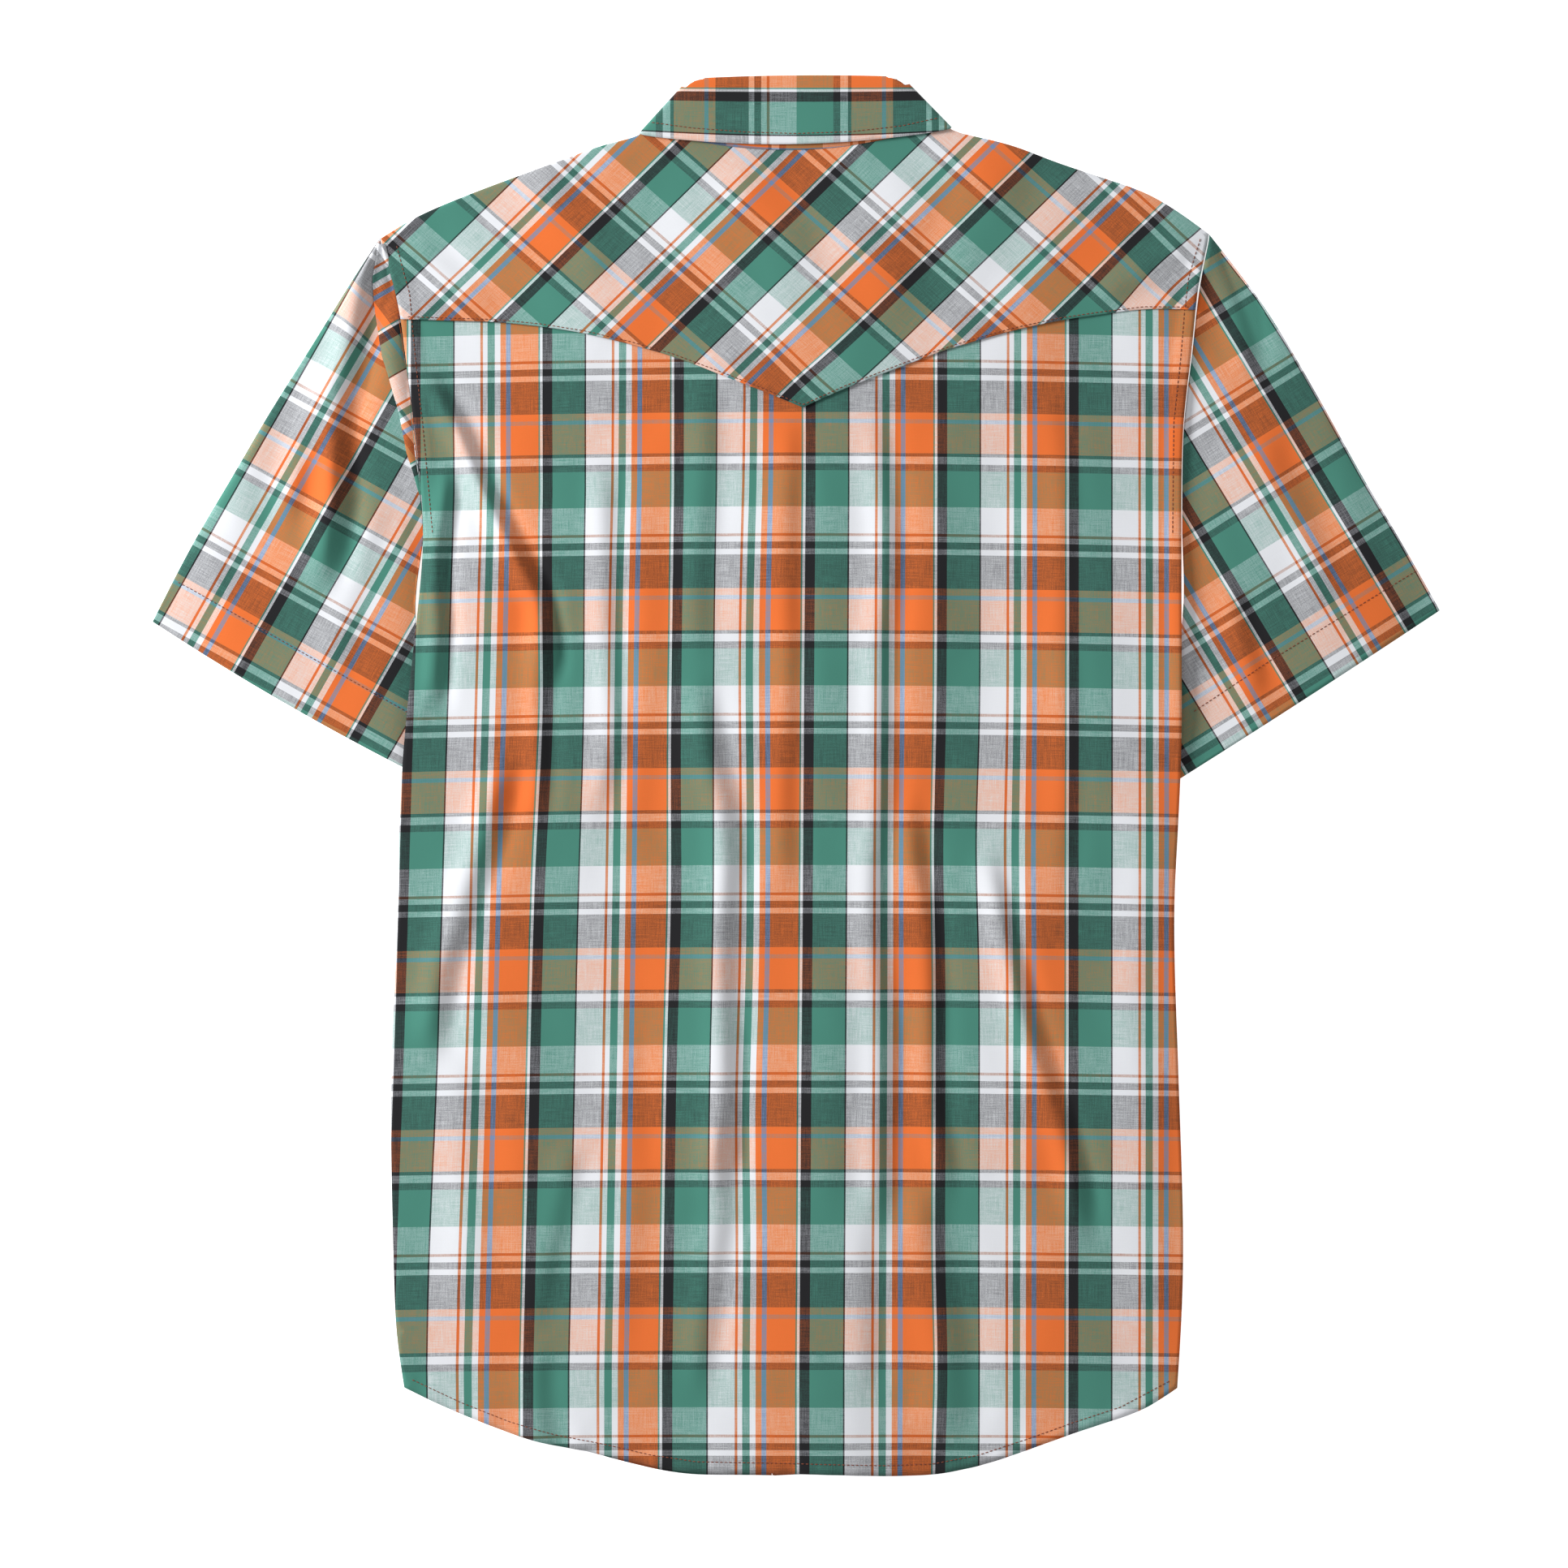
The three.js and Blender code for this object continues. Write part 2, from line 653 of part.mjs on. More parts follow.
function sleeveSolid(s) {
  const positions = [];
  const index = [];
  const rings = [];
  const middle = WALL + GAP / 2;
  for (let j = 0; j <= SLEEVE_STATIONS; j += 1) {
    const along = j / SLEEVE_STATIONS;
    const a = sleevePlan(s, along, 0);
    const b = sleevePlan(s, along, 1);
    const length = Math.hypot(b[0] - a[0], b[1] - a[1]);
    const outer = [];
    const inner = [];
    const put = (list, distance, z) => {
      const [x, y] = sleevePlan(s, along, distance / length);
      list.push([x, y, z]);
    };
    const spots = [];
    for (let k = 0; k <= SLEEVE_CELLS; k += 1) {
      spots.push(mix(END_ROUND, length - END_ROUND, k / SLEEVE_CELLS));
    }
    for (const d of spots) {
      const ceiling = LAYER + sleeveHollow(s, along, d / length);
      put(outer, d, ceiling + WALL);
      put(inner, d, ceiling);
    }
    put(outer, length, middle + 0.5);
    put(inner, length - WALL - 0.1, middle + 0.1);
    put(outer, length, middle - 0.5);
    put(inner, length - WALL - 0.1, middle - 0.1);
    for (const d of [...spots].reverse()) {
      put(outer, d, 0);
      put(inner, d, WALL);
    }
    put(outer, 0, middle - 0.5);
    put(inner, WALL + 0.1, middle - 0.1);
    put(outer, 0, middle + 0.5);
    put(inner, WALL + 0.1, middle + 0.1);
    rings.push([outer, inner].map((list) => list.map((p) => {
      positions.push(...p);
      return positions.length / 3 - 1;
    })));
  }
  const face = (a, b, c, d) => {
    if (s.side > 0) index.push(a, b, c, a, c, d);
    else index.push(a, c, b, a, d, c);
  };
  const count = rings[0][0].length;
  for (let k = 0; k < count; k += 1) {
    const m = (k + 1) % count;
    for (let j = 0; j < SLEEVE_STATIONS; j += 1) {
      const [outer, inner] = rings[j];
      const [outerNext, innerNext] = rings[j + 1];
      face(outer[k], outer[m], outerNext[m], outerNext[k]);
      face(inner[m], inner[k], innerNext[k], innerNext[m]);
    }
    const [startOuter, startInner] = rings[0];
    const [endOuter, endInner] = rings[SLEEVE_STATIONS];
    face(startOuter[m], startOuter[k], startInner[k], startInner[m]);
    face(endOuter[k], endOuter[m], endInner[m], endInner[k]);
  }
  const geometry = new THREE.BufferGeometry();
  geometry.setAttribute('position', new THREE.Float32BufferAttribute(positions, 3));
  geometry.setIndex(index);
  geometry.computeVertexNormals();
  return geometry;
}
add('left_sleeve', sleeveSolid(sleeves.left), 'shirting');
add('right_sleeve', sleeveSolid(sleeves.right), 'shirting');

// Snap caps: low domes under the placket, their faces on the ground
for (let k = 0; k < CAP_COUNT; k += 1) {
  const profile = [
    new THREE.Vector2(0, 0),
    new THREE.Vector2(CAP_RADIUS * 0.62, 0),
    new THREE.Vector2(CAP_RADIUS, CAP_HEIGHT * 0.5),
    new THREE.Vector2(CAP_RADIUS, CAP_HEIGHT),
    new THREE.Vector2(0, CAP_HEIGHT),
  ];
  const cap = new THREE.LatheGeometry(profile, 16);
  cap.rotateX(Math.PI / 2);
  cap.translate(CENTRE_X, CAP_FIRST_Y - k * CAP_PITCH, 0);
  add(`snap_cap_${k + 1}`, cap, 'snap');
}

export default shirt;
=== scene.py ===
import math

import bmesh
import bpy
import numpy as np
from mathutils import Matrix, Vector
from mathutils.bvhtree import BVHTree
from mathutils.kdtree import KDTree


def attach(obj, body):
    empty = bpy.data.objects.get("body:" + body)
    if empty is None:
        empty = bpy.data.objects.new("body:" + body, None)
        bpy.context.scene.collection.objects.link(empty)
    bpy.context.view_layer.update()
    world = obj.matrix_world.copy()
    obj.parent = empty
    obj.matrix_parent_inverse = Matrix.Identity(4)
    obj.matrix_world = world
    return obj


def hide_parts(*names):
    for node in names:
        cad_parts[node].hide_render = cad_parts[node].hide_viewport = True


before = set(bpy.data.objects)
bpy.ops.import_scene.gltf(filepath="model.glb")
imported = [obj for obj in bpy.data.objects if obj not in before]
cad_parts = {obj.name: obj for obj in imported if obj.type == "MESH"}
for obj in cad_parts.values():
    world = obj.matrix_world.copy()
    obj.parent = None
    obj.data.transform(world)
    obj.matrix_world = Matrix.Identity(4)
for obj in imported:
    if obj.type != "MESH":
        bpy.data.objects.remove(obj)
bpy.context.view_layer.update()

MM = 0.001


# Back panel
# One length of yarn-dyed cotton shirting on the straight grain, hem to yoke seam.
# Woven plaid, soft and dull, lying on the fronts in long shallow folds.

def linear(hex_colour):
    """An sRGB hex colour as linear red, green, blue and alpha."""
    channels = [int(hex_colour[i:i + 2], 16) / 255 for i in (0, 2, 4)]
    curve = [c / 12.92 if c <= 0.04045 else ((c + 0.055) / 1.055) ** 2.4 for c in channels]
    return (*curve, 1.0)


def add_node(tree, kind, settings=None, **inputs):
    """Adds a node, sets its properties and links or sets its inputs by name or number."""
    node = tree.nodes.new(kind)
    for name, value in (settings or {}).items():
        setattr(node, name, value)
    for name, value in inputs.items():
        socket = node.inputs[int(name[1:])] if name[0] == "i" and name[1:].isdigit() else None
        socket = socket or node.inputs[name.replace("_", " ")]
        if isinstance(value, bpy.types.NodeSocket):
            tree.links.new(value, socket)
        else:
            socket.default_value = value
    return node


YARNS = {
    "white": "dadce0",
    "chalk": "e2e4ea",
    "orange": "da6c2e",
    "copper": "c8642f",
    "rust": "e66c32",
    "brick": "8a3c1c",
    "green": "438071",
    "black": "18181b",
    "blue": "6e84a8",
}
# Stripes of one repeat in millimetres, warp from left to right, weft from top to bottom.
WARP_STRIPES = [
    ("white", 1.2), ("black", 5.8), ("green", 18.9), ("black", 0.9), ("white", 14.9),
    ("copper", 1.6), ("white", 2.8), ("green", 4.0), ("white", 3.3), ("orange", 3.3),
    ("blue", 2.8), ("orange", 16.3), ("green", 0.9),
]
WEFT_STRIPES = [
    ("rust", 3.7), ("blue", 2.6), ("rust", 17.5), ("black", 1.9), ("chalk", 4.4),
    ("black", 4.0), ("green", 21.0), ("chalk", 15.4), ("brick", 1.5), ("chalk", 3.1),
    ("black", 4.2), ("chalk", 3.0), ("black", 19.3),
]
WARP_REPEAT = 76.7
WEFT_REPEAT = 101.6
WEFT_SHARE = 0.3
SHARE_SPREAD = 0.16
YARN_WIDTH = 0.5
YARN_STREAK = 12.0
SPECKLE_SIZE = 0.65
TWILL_PITCH = 0.9


def stripe_ramp(tree, stripes, position):
    """A colour ramp with hard edges that gives the yarn at a place in the repeat."""
    ramp = add_node(tree, "ShaderNodeValToRGB", i0=position)
    ramp.color_ramp.interpolation = "CONSTANT"
    total = sum(width for _, width in stripes)
    start = 0.0
    for number, (yarn, width) in enumerate(stripes):
        steps = ramp.color_ramp.elements
        step = steps[0] if number == 0 else steps.new(start / total)
        step.color = linear(YARNS[yarn])
        start += width
    ramp.color_ramp.elements.remove(ramp.color_ramp.elements[-1])
    return ramp.outputs["Color"]


def cotton_plaid():
    """Yarn-dyed cotton shirting: warp-faced weave, so the warp gives 7 parts of the colour in 10.
    The two yarns mix as the eye sees them, in encoded values. Dull, with a faint nap."""
    material = bpy.data.materials.new("yarn_dyed_cotton_shirting")
    material.use_nodes = True
    tree = material.node_tree
    tree.nodes.clear()
    uv = add_node(tree, "ShaderNodeUVMap", {"uv_map": "cloth"}).outputs["UV"]
    parts = add_node(tree, "ShaderNodeSeparateXYZ", i0=uv)
    place = {}
    for axis in "XY":
        fraction = add_node(tree, "ShaderNodeMath", {"operation": "FRACT"}, i0=parts.outputs[axis])
        place[axis] = fraction.outputs[0]
    shades = [
        stripe_ramp(tree, WARP_STRIPES, place["X"]),
        stripe_ramp(tree, WEFT_STRIPES, place["Y"]),
    ]
    encoded = [add_node(tree, "ShaderNodeGamma", i0=s, i1=1 / 2.2).outputs[0] for s in shades]

    # Yarns vary along their length: streaks 0.5 mm wide and 12 mm long, along each set of yarns.
    # A yarn is 0.25 mm; it is drawn twice as coarse, because less doesn't show from a step away.
    def streaks(across, along, detail):
        size = add_node(tree, "ShaderNodeVectorMath", {"operation": "MULTIPLY"}, i0=uv)
        size.inputs[1].default_value = (across, along, 1)
        noise = add_node(tree, "ShaderNodeTexNoise", i0=size.outputs[0], Scale=1.0, Detail=detail)
        return noise.outputs["Fac"]

    warp_streaks = streaks(WARP_REPEAT / YARN_WIDTH, WEFT_REPEAT / YARN_STREAK, 1.0)
    weft_streaks = streaks(WARP_REPEAT / YARN_STREAK, WEFT_REPEAT / YARN_WIDTH, 1.0)
    speckle = streaks(WARP_REPEAT / SPECKLE_SIZE, WEFT_REPEAT / SPECKLE_SIZE, 2.0)
    lean = add_node(tree, "ShaderNodeMath", {"operation": "ADD"}, i0=warp_streaks, i1=weft_streaks)
    lean = add_node(tree, "ShaderNodeMath", {"operation": "ADD"}, i0=lean.outputs[0], i1=speckle)
    share = add_node(tree, "ShaderNodeMapRange", i0=lean.outputs[0])
    share.inputs["From Min"].default_value = 1.1
    share.inputs["From Max"].default_value = 1.9
    share.inputs["To Min"].default_value = WEFT_SHARE - SHARE_SPREAD
    share.inputs["To Max"].default_value = WEFT_SHARE + SHARE_SPREAD
    woven = add_node(tree, "ShaderNodeMix", {"data_type": "RGBA"}, i0=share.outputs[0])
    tree.links.new(encoded[0], woven.inputs[6])
    tree.links.new(encoded[1], woven.inputs[7])
    colour = add_node(tree, "ShaderNodeGamma", i0=woven.outputs[2], i1=2.2)

    # Fine twill line of the weave: 0.9 mm apart here, 0.5 mm on the real cloth, to show close up.
    def maths(operation, first, *others):
        given = {f"i{number + 1}": value for number, value in enumerate(others)}
        return add_node(tree, "ShaderNodeMath", {"operation": operation}, i0=first, **given).outputs[0]

    rows = maths("MULTIPLY", parts.outputs["X"], WARP_REPEAT / TWILL_PITCH)
    picks = maths("MULTIPLY", parts.outputs["Y"], WEFT_REPEAT / TWILL_PITCH)
    twill = maths("SINE", maths("MULTIPLY", maths("ADD", rows, picks), math.tau))
    relief = maths("MULTIPLY_ADD", twill, 0.25, speckle)
    bump = add_node(tree, "ShaderNodeBump", Strength=0.35, Distance=0.12 * MM, Height=relief)
    shader = add_node(tree, "ShaderNodeBsdfPrincipled", Roughness=0.88, IOR=1.45, Normal=bump.outputs[0])
    shader.inputs["Specular IOR Level"].default_value = 0.22
    shader.inputs["Sheen Weight"].default_value = 0.12
    shader.inputs["Sheen Roughness"].default_value = 0.55
    tree.links.new(colour.outputs[0], shader.inputs["Base Color"])
    add_node(tree, "ShaderNodeOutputMaterial", i0=shader.outputs[0])
    return material


SHIRTING = cotton_plaid()
CLOTH_THICKNESS = 0.45 * MM
SKIN_ANGLE = math.radians(75)


def ease(t):
    """A smooth step from 0 to 1."""
    t = np.clip(t, 0.0, 1.0)
    return t * t * (3 - 2 * t)


def outer_skin(node, facing, levels, sharp=(), openings=(), rounded=False):
    """The outer face of a cloth solid as a mesh of its own, made finer and smooth.
    facing points to its outer side; sharp lists corners in millimetres that stay sharp.
    A tube's openings are given by the direction that each looks in and its lowest height.
    The edge's corners stay, unless it is rounded."""
    bm = bmesh.new()
    bm.from_mesh(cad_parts[node].data)
    bmesh.ops.remove_doubles(bm, verts=bm.verts, dist=0.01 * MM)
    bm.normal_update()
    toward = Vector(facing)
    rims = set()
    for looks, lowest in openings:
        for face in bm.faces:
            if face.normal.dot(Vector(looks)) > 0.8 and face.calc_center_median().y > lowest * MM:
                rims.add(face)
    limit = math.pi if openings else SKIN_ANGLE
    seed = max(bm.faces, key=lambda f: f.calc_center_median().dot(toward) + 1e-4 * f.normal.dot(toward))
    kept = {seed}
    waiting = [seed]
    while waiting:
        face = waiting.pop()
        for edge in face.edges:
            for other in edge.link_faces:
                if other not in kept and other not in rims and face.normal.angle(other.normal, 0) < limit:
                    kept.add(other)
                    waiting.append(other)
    bmesh.ops.delete(bm, geom=[f for f in bm.faces if f not in kept], context="FACES")
    bmesh.ops.join_triangles(
        bm, faces=bm.faces, angle_face_threshold=math.radians(40), angle_shape_threshold=math.radians(60),
    )
    crease = bm.verts.layers.float.new("crease_vert")
    for corner in sharp:
        spot = Vector((corner[0] * MM, corner[1] * MM))
        nearest = min(bm.verts, key=lambda v: (v.co.xy - spot).length)
        nearest[crease] = 1.0
    mesh = bpy.data.meshes.new(node)
    bm.to_mesh(mesh)
    bm.free()
    rough = bpy.data.objects.new(node, mesh)
    bpy.context.scene.collection.objects.link(rough)
    finer = rough.modifiers.new("finer", "SUBSURF")
    finer.levels = levels
    finer.render_levels = levels
    finer.boundary_smooth = "ALL" if rounded else "PRESERVE_CORNERS"
    return settled(rough, node + "_cloth")


def settled(rough, name):
    """The object with its modifiers applied, as a plain mesh under a new name."""
    view = bpy.context.evaluated_depsgraph_get()
    mesh = bpy.data.meshes.new_from_object(rough.evaluated_get(view))
    bpy.data.objects.remove(rough)
    mesh.name = name
    piece = bpy.data.objects.new(name, mesh)
    bpy.context.scene.collection.objects.link(piece)
    return piece


def points_of(piece):
    """The vertices of a piece in millimetres, a row each."""
    flat = np.empty(len(piece.data.vertices) * 3)
    piece.data.vertices.foreach_get("co", flat)
    return flat.reshape(-1, 3) / MM


def move_points(piece, points):
    piece.data.vertices.foreach_set("co", (points * MM).ravel())
    piece.data.update()


def lay_plaid(piece, chart):
    """Writes the cloth's own map: whole numbers are repeats of the plaid.
    The chart gets each face corner and its face's centre, so that a turn in the cloth stays sharp."""
    count = len(piece.data.loops)
    loops = np.empty(count, dtype=int)
    piece.data.loops.foreach_get("vertex_index", loops)
    centres = np.empty(len(piece.data.polygons) * 3)
    piece.data.polygons.foreach_get("center", centres)
    sizes = [p.loop_total for p in piece.data.polygons]
    centres = np.repeat(centres.reshape(-1, 3) / MM, sizes, axis=0)
    repeats = np.stack(chart(points_of(piece)[loops], centres), axis=1)
    layer = piece.data.uv_layers.new(name="cloth")
    layer.data.foreach_set("uv", repeats.ravel())


def finish_cloth(piece):
    """Gives a skin its thickness and the shirting."""
    piece.data.materials.clear()
    piece.data.materials.append(SHIRTING)
    piece.data.polygons.foreach_set("use_smooth", [True] * len(piece.data.polygons))
    wall = piece.modifiers.new("cloth", "SOLIDIFY")
    wall.thickness = CLOTH_THICKNESS
    wall.offset = -1


def make_cloth(piece, node):
    """Finishes a skin and sets it in place of its solid."""
    finish_cloth(piece)
    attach(piece, "root")
    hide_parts(node)


# The panel lies a little askew. Its warp stripes stand left of straight, evenly at the yoke, and
# towards the hem more and more on the left side; its weft stripes sag at both sides.
LEAN_AT_YOKE = 3.0
LEAN_AT_LEFT_HEM = 18.0
SAG_AT_SIDES = 3.0
DROP_AT_YOKE = 3.0
DROP_AT_HEM = 2.0
HALF_WIDTH = 215.0
YOKE_HEIGHT, HEM_HEIGHT = 165.0, -340.0
# Where a repeat starts on the body, and how long it is there, stretched a little by the folds.
BODY_WARP = {"start": -219.5, "repeat": 75.5}
BODY_WEFT = {"start": 210.6, "repeat": 103.0}


# Where a fold has pushed the stripes sideways: place, reach each way and shift to the right.
PUSHED = [
    {"at": (-140, 35), "reach": (20, 75), "shift": 3.0},
    {"at": (-102, 90), "reach": (16, 90), "shift": -1.0},
    {"at": (-28, 80), "reach": (20, 95), "shift": -2.0},
    {"at": (-65, -75), "reach": (16, 65), "shift": 1.5},
    {"at": (100, -40), "reach": (32, 55), "shift": -2.0},
    {"at": (-28, -190), "reach": (20, 60), "shift": -1.5},
    {"at": (-210, -280), "reach": (20, 80), "shift": -1.5},
    {"at": (83, -340), "reach": (18, 45), "shift": 1.5},
]


def body_chart(points, centres):
    """Straight grain: warp down the body, weft across it, askew as the panel lies."""
    x, y = points[:, 0], points[:, 1]
    from_right = np.clip((HALF_WIDTH - x) / (2 * HALF_WIDTH), 0, 1)
    from_yoke = np.clip((YOKE_HEIGHT - y) / (YOKE_HEIGHT - HEM_HEIGHT), 0, 1)
    right = -LEAN_AT_YOKE - (LEAN_AT_LEFT_HEM - LEAN_AT_YOKE) * from_right ** 2 * from_yoke
    for push in PUSHED:
        gap = ((x - push["at"][0]) / push["reach"][0]) ** 2 + ((y - push["at"][1]) / push["reach"][1]) ** 2
        right += push["shift"] * np.exp(-gap)
    down = SAG_AT_SIDES * (x / HALF_WIDTH) ** 2 * (1 - 0.5 * from_yoke)
    down += DROP_AT_YOKE * ease((y - 130) / 120) + DROP_AT_HEM * ease((-280 - y) / 80)
    warp = (x - BODY_WARP["start"] - right) / BODY_WARP["repeat"]
    return warp, (BODY_WEFT["start"] - y - down) / BODY_WEFT["repeat"]


# Folds finer than the solid's, from the yoke down: path, half width and height in millimetres.
# Each rises gently on its left and drops into a trough on its right, as the cloth was pushed.
BACK_FOLDS = [
    {"path": [(-203, 170), (-207, 124), (-205, 86), (-209, 46)], "width": 5, "height": 2.8},
    {"path": [(-210, 221), (-196, 198), (-184, 170), (-163, 130), (-149, 101), (-145, 58)],
     "width": 5.5, "height": 3.7},
    {"path": [(-150, 84), (-149, 30), (-152, -20)], "width": 6, "height": 1.7},
    {"path": [(-169, 4), (-178, -30), (-194, -70), (-206, -107), (-210, -152)], "width": 8, "height": 2.7},
    {"path": [(-115, 172), (-110, 91), (-109, 20), (-115, -14)], "width": 7, "height": 1.6},
    {"path": [(-93, 150), (-89, 90), (-92, -20), (-90, -90)], "width": 12, "height": 1.0},
    {"path": [(-54, 222), (-57, 166), (-58, 119), (-58, 72)], "width": 8, "height": 1.1},
    {"path": [(-55, 42), (-52, 10), (-46, -16), (-43, -52), (-43, -91), (-46, -198), (-48, -230)],
     "width": 8, "height": 2.8},
    {"path": [(-47, -200), (-48, -252), (-52, -300), (-59, -345)], "width": 8, "height": 1.8},
    {"path": [(-8, 196), (-6, 120), (-9, 30), (-8, -60)], "width": 7, "height": 1.3},
    {"path": [(46, 196), (48, 120), (47, 60), (44, 0), (42, -50), (44, -120), (46, -200), (48, -264)],
     "width": 7.5, "height": 2.2},
    {"path": [(64, -24), (70, -70), (73, -120), (77, -180), (82, -232)], "width": 7, "height": 2.1},
    {"path": [(38, -240), (37, -290), (34, -350)], "width": 8, "height": 0.9},
    {"path": [(70, -246), (76, -290), (83, -376)], "width": 12, "height": 2.3},
    {"path": [(110, -56), (116, -92), (127, -132), (141, -172), (151, -208), (161, -256)],
     "width": 6.5, "height": 2.7},
    {"path": [(147, 212), (149, 166), (151, 91), (151, 3), (150, -67)], "width": 7, "height": 0.8},
    {"path": [(-150, -335), (-148, -388)], "width": 7, "height": 1.3},
    {"path": [(-133, -216), (-140, -262), (-151, -309)], "width": 7, "height": 0.9},
    {"path": [(198, -20), (194, -130), (197, -230), (204, -330)], "width": 12, "height": 0.9},
    {"path": [(-100, -150), (-98, -230), (-104, -330)], "width": 9, "height": 0.6},
    {"path": [(-195, -170), (-192, -240), (-196, -300)], "width": 12, "height": 1.2},
]


def fold_height(folds, x, y):
    """Sum of the folds' heights at many points; each fades in and out at its ends."""
    total = np.zeros(len(x))
    for fold in folds:
        path = np.array(fold["path"], float)
        steps = np.diff(path, axis=0)
        lengths = np.hypot(*steps.T)
        whole = lengths.sum()
        nearest = np.full(len(x), np.inf)
        side = np.zeros(len(x))
        along = np.zeros(len(x))
        for start, step, length, before in zip(path, steps, lengths, np.cumsum(lengths) - lengths):
            ux, uy = step / length
            t = (x - start[0]) * ux + (y - start[1]) * uy
            held = np.clip(t, 0, length)
            gap = np.hypot(x - start[0] - held * ux, y - start[1] - held * uy)
            closer = gap < nearest
            nearest = np.where(closer, gap, nearest)
            side = np.where(closer, (y - start[1]) * ux - (x - start[0]) * uy, side)
            along = np.where(closer, before + t, along)
        off = side / fold["width"] + 0.2 * np.sin(along / 23.0 + path[0, 0])
        reach = 0.14 * whole + 12
        fade = ease((along + 0.5 * reach) / reach) * ease((whole + 0.5 * reach - along) / reach)
        shape = np.exp(-np.where(off < 0, off / 1.15, off) ** 2) - 0.55 * np.exp(-((off - 1.7) / 0.9) ** 2)
        total += 1.35 * fold["height"] * fade * shape
    return total


def rumple(x, y):
    """Low waves 40 to 90 mm long that keep a pressed panel from looking like card."""
    return (
        0.34 * np.sin(x / 13.0 + 1.7 * np.sin(y / 61.0))
        + 0.24 * np.sin(y / 19.0 + 1.3 * np.sin(x / 37.0) + 0.8)
        + 0.16 * np.sin((x + y) / 9.0 + 2.1 * np.sin(x / 71.0))
        + 0.13 * np.sin(x / 4.9 + 2.3 * np.sin(y / 23.0)) * np.sin(y / 15.0 + 1.9 * np.sin(x / 31.0))
    )


def path_reading(path, at):
    """Where a downward path of (x, y) stands at the given heights."""
    path = np.array(path, float)
    return np.interp(-at, -path[:, 1], path[:, 0])


def near_path(path, x, y, reach):
    """1 on a path, falling to 0 at the given reach from it, in millimetres."""
    path = np.array(path, float)
    steps = np.hypot(*np.diff(path, axis=0).T)
    at = np.concatenate([[0], np.cumsum(steps)])
    spaced = np.arange(0, at[-1], 1.0)
    tree = KDTree(len(spaced))
    for number, s in enumerate(spaced):
        tree.insert((np.interp(s, at, path[:, 0]), np.interp(s, at, path[:, 1]), 0), number)
    tree.balance()
    gaps = np.array([tree.find((a, b, 0))[2] for a, b in zip(x, y)])
    return np.clip(1 - gaps / reach, 0, 1)


def rim_line(piece, lowest, highest, places):
    """The rim of a flat skin at the given places across, between two heights, in millimetres."""
    bm = bmesh.new()
    bm.from_mesh(piece.data)
    rim = sorted({v.index for edge in bm.edges if edge.is_boundary for v in edge.verts})
    bm.free()
    spots = points_of(piece)[rim][:, :2]
    spots = spots[(spots[:, 1] > lowest) & (spots[:, 1] < highest)]
    spots = spots[np.argsort(spots[:, 0])]
    return np.stack([places, np.interp(places, spots[:, 0], spots[:, 1])], axis=1)


# The edges beside the sleeves, from the shoulder down; the armhole seam's allowance lies under them.
LEFT_EDGE = [
    (-229, 277), (-224.3, 249.4), (-221.2, 219.4), (-217.5, 182), (-215.5, 140), (-217, 90), (-222, 20),
]
RIGHT_EDGE = [(237, 310), (231.5, 274), (226, 235), (222.5, 190), (222, 150), (223, 90), (223.5, 10)]


def seam_rise(points):
    """How much thicker the body lies over the armhole seams' allowance, in millimetres."""
    x, y = points[:, 0], points[:, 1]
    from_left = x - path_reading(LEFT_EDGE, y)
    from_right = path_reading(RIGHT_EDGE, y) - x
    rise = 0.8 * ease((11 - from_left) / 4) + 1.8 * ease((12 - from_right) / 7)
    return rise * ease((y - 10) / 30) * ease((305 - y) / 20)


back_panel = outer_skin("back_panel", (0, 0, 1), 3, sharp=[(3.7, 220.9), (-226, -350.5), (220, -350.5)])
points = points_of(back_panel)
back_hem = rim_line(back_panel, -410, -351, np.linspace(-222, 216, 17))
lay_plaid(back_panel, body_chart)
rise = fold_height(BACK_FOLDS, points[:, 0], points[:, 1]) + rumple(points[:, 0], points[:, 1])
rise += seam_rise(points)
# No trough goes deeper than the cloth beneath allows.
points[:, 2] = np.maximum(points[:, 2] + rise, np.minimum(points[:, 2], 1.1))
# The hem is turned twice, so its last 6 mm are thicker, and it puckers between the stitches.
hem = near_path(back_hem, points[:, 0], points[:, 1], 14)
pucker = np.sin(points[:, 0] / 2.6 + np.sin(points[:, 0] / 17))
points[:, 2] += ease((hem - 0.5) / 0.15) * 0.45 + 0.35 * hem * pucker * ease(points[:, 2] / 1.5)
move_points(back_panel, points)
make_cloth(back_panel, "back_panel")


# Back yoke
# Cut on the bias in one piece with a single point, lapped and edge-stitched over the back panel.
# It turns over both shoulders and is seamed to the fronts underneath.

def slanted_chart(warp, weft):
    """A cloth chart from two straight rules: direction across the stripes, start and repeat."""
    def chart(points, centres=None):
        x, y = points[:, 0], points[:, 1]
        return [
            (x * rule["across"][0] + y * rule["across"][1] - rule["start"]) / rule["repeat"]
            for rule in (warp, weft)
        ]
    return chart


yoke_straight = slanted_chart(
    {"across": (0.70, -0.7145), "start": -309.0, "repeat": 74.0},
    {"across": (-0.66, -0.752), "start": -151.9, "repeat": 99.4},
)


def yoke_chart(points, centres=None):
    """Straight stripes, drawn a little to the left at the yoke's point and at its right end."""
    drawn = points.copy()
    drawn[:, 0] += 3.4 * np.exp(-((points[:, 0] - 5) / 34) ** 2 - ((points[:, 1] - 214) / 26) ** 2)
    drawn[:, 0] += 4.5 * np.exp(-((points[:, 0] - 214) / 26) ** 2 - ((points[:, 1] - 284) / 24) ** 2)
    return yoke_straight(drawn)


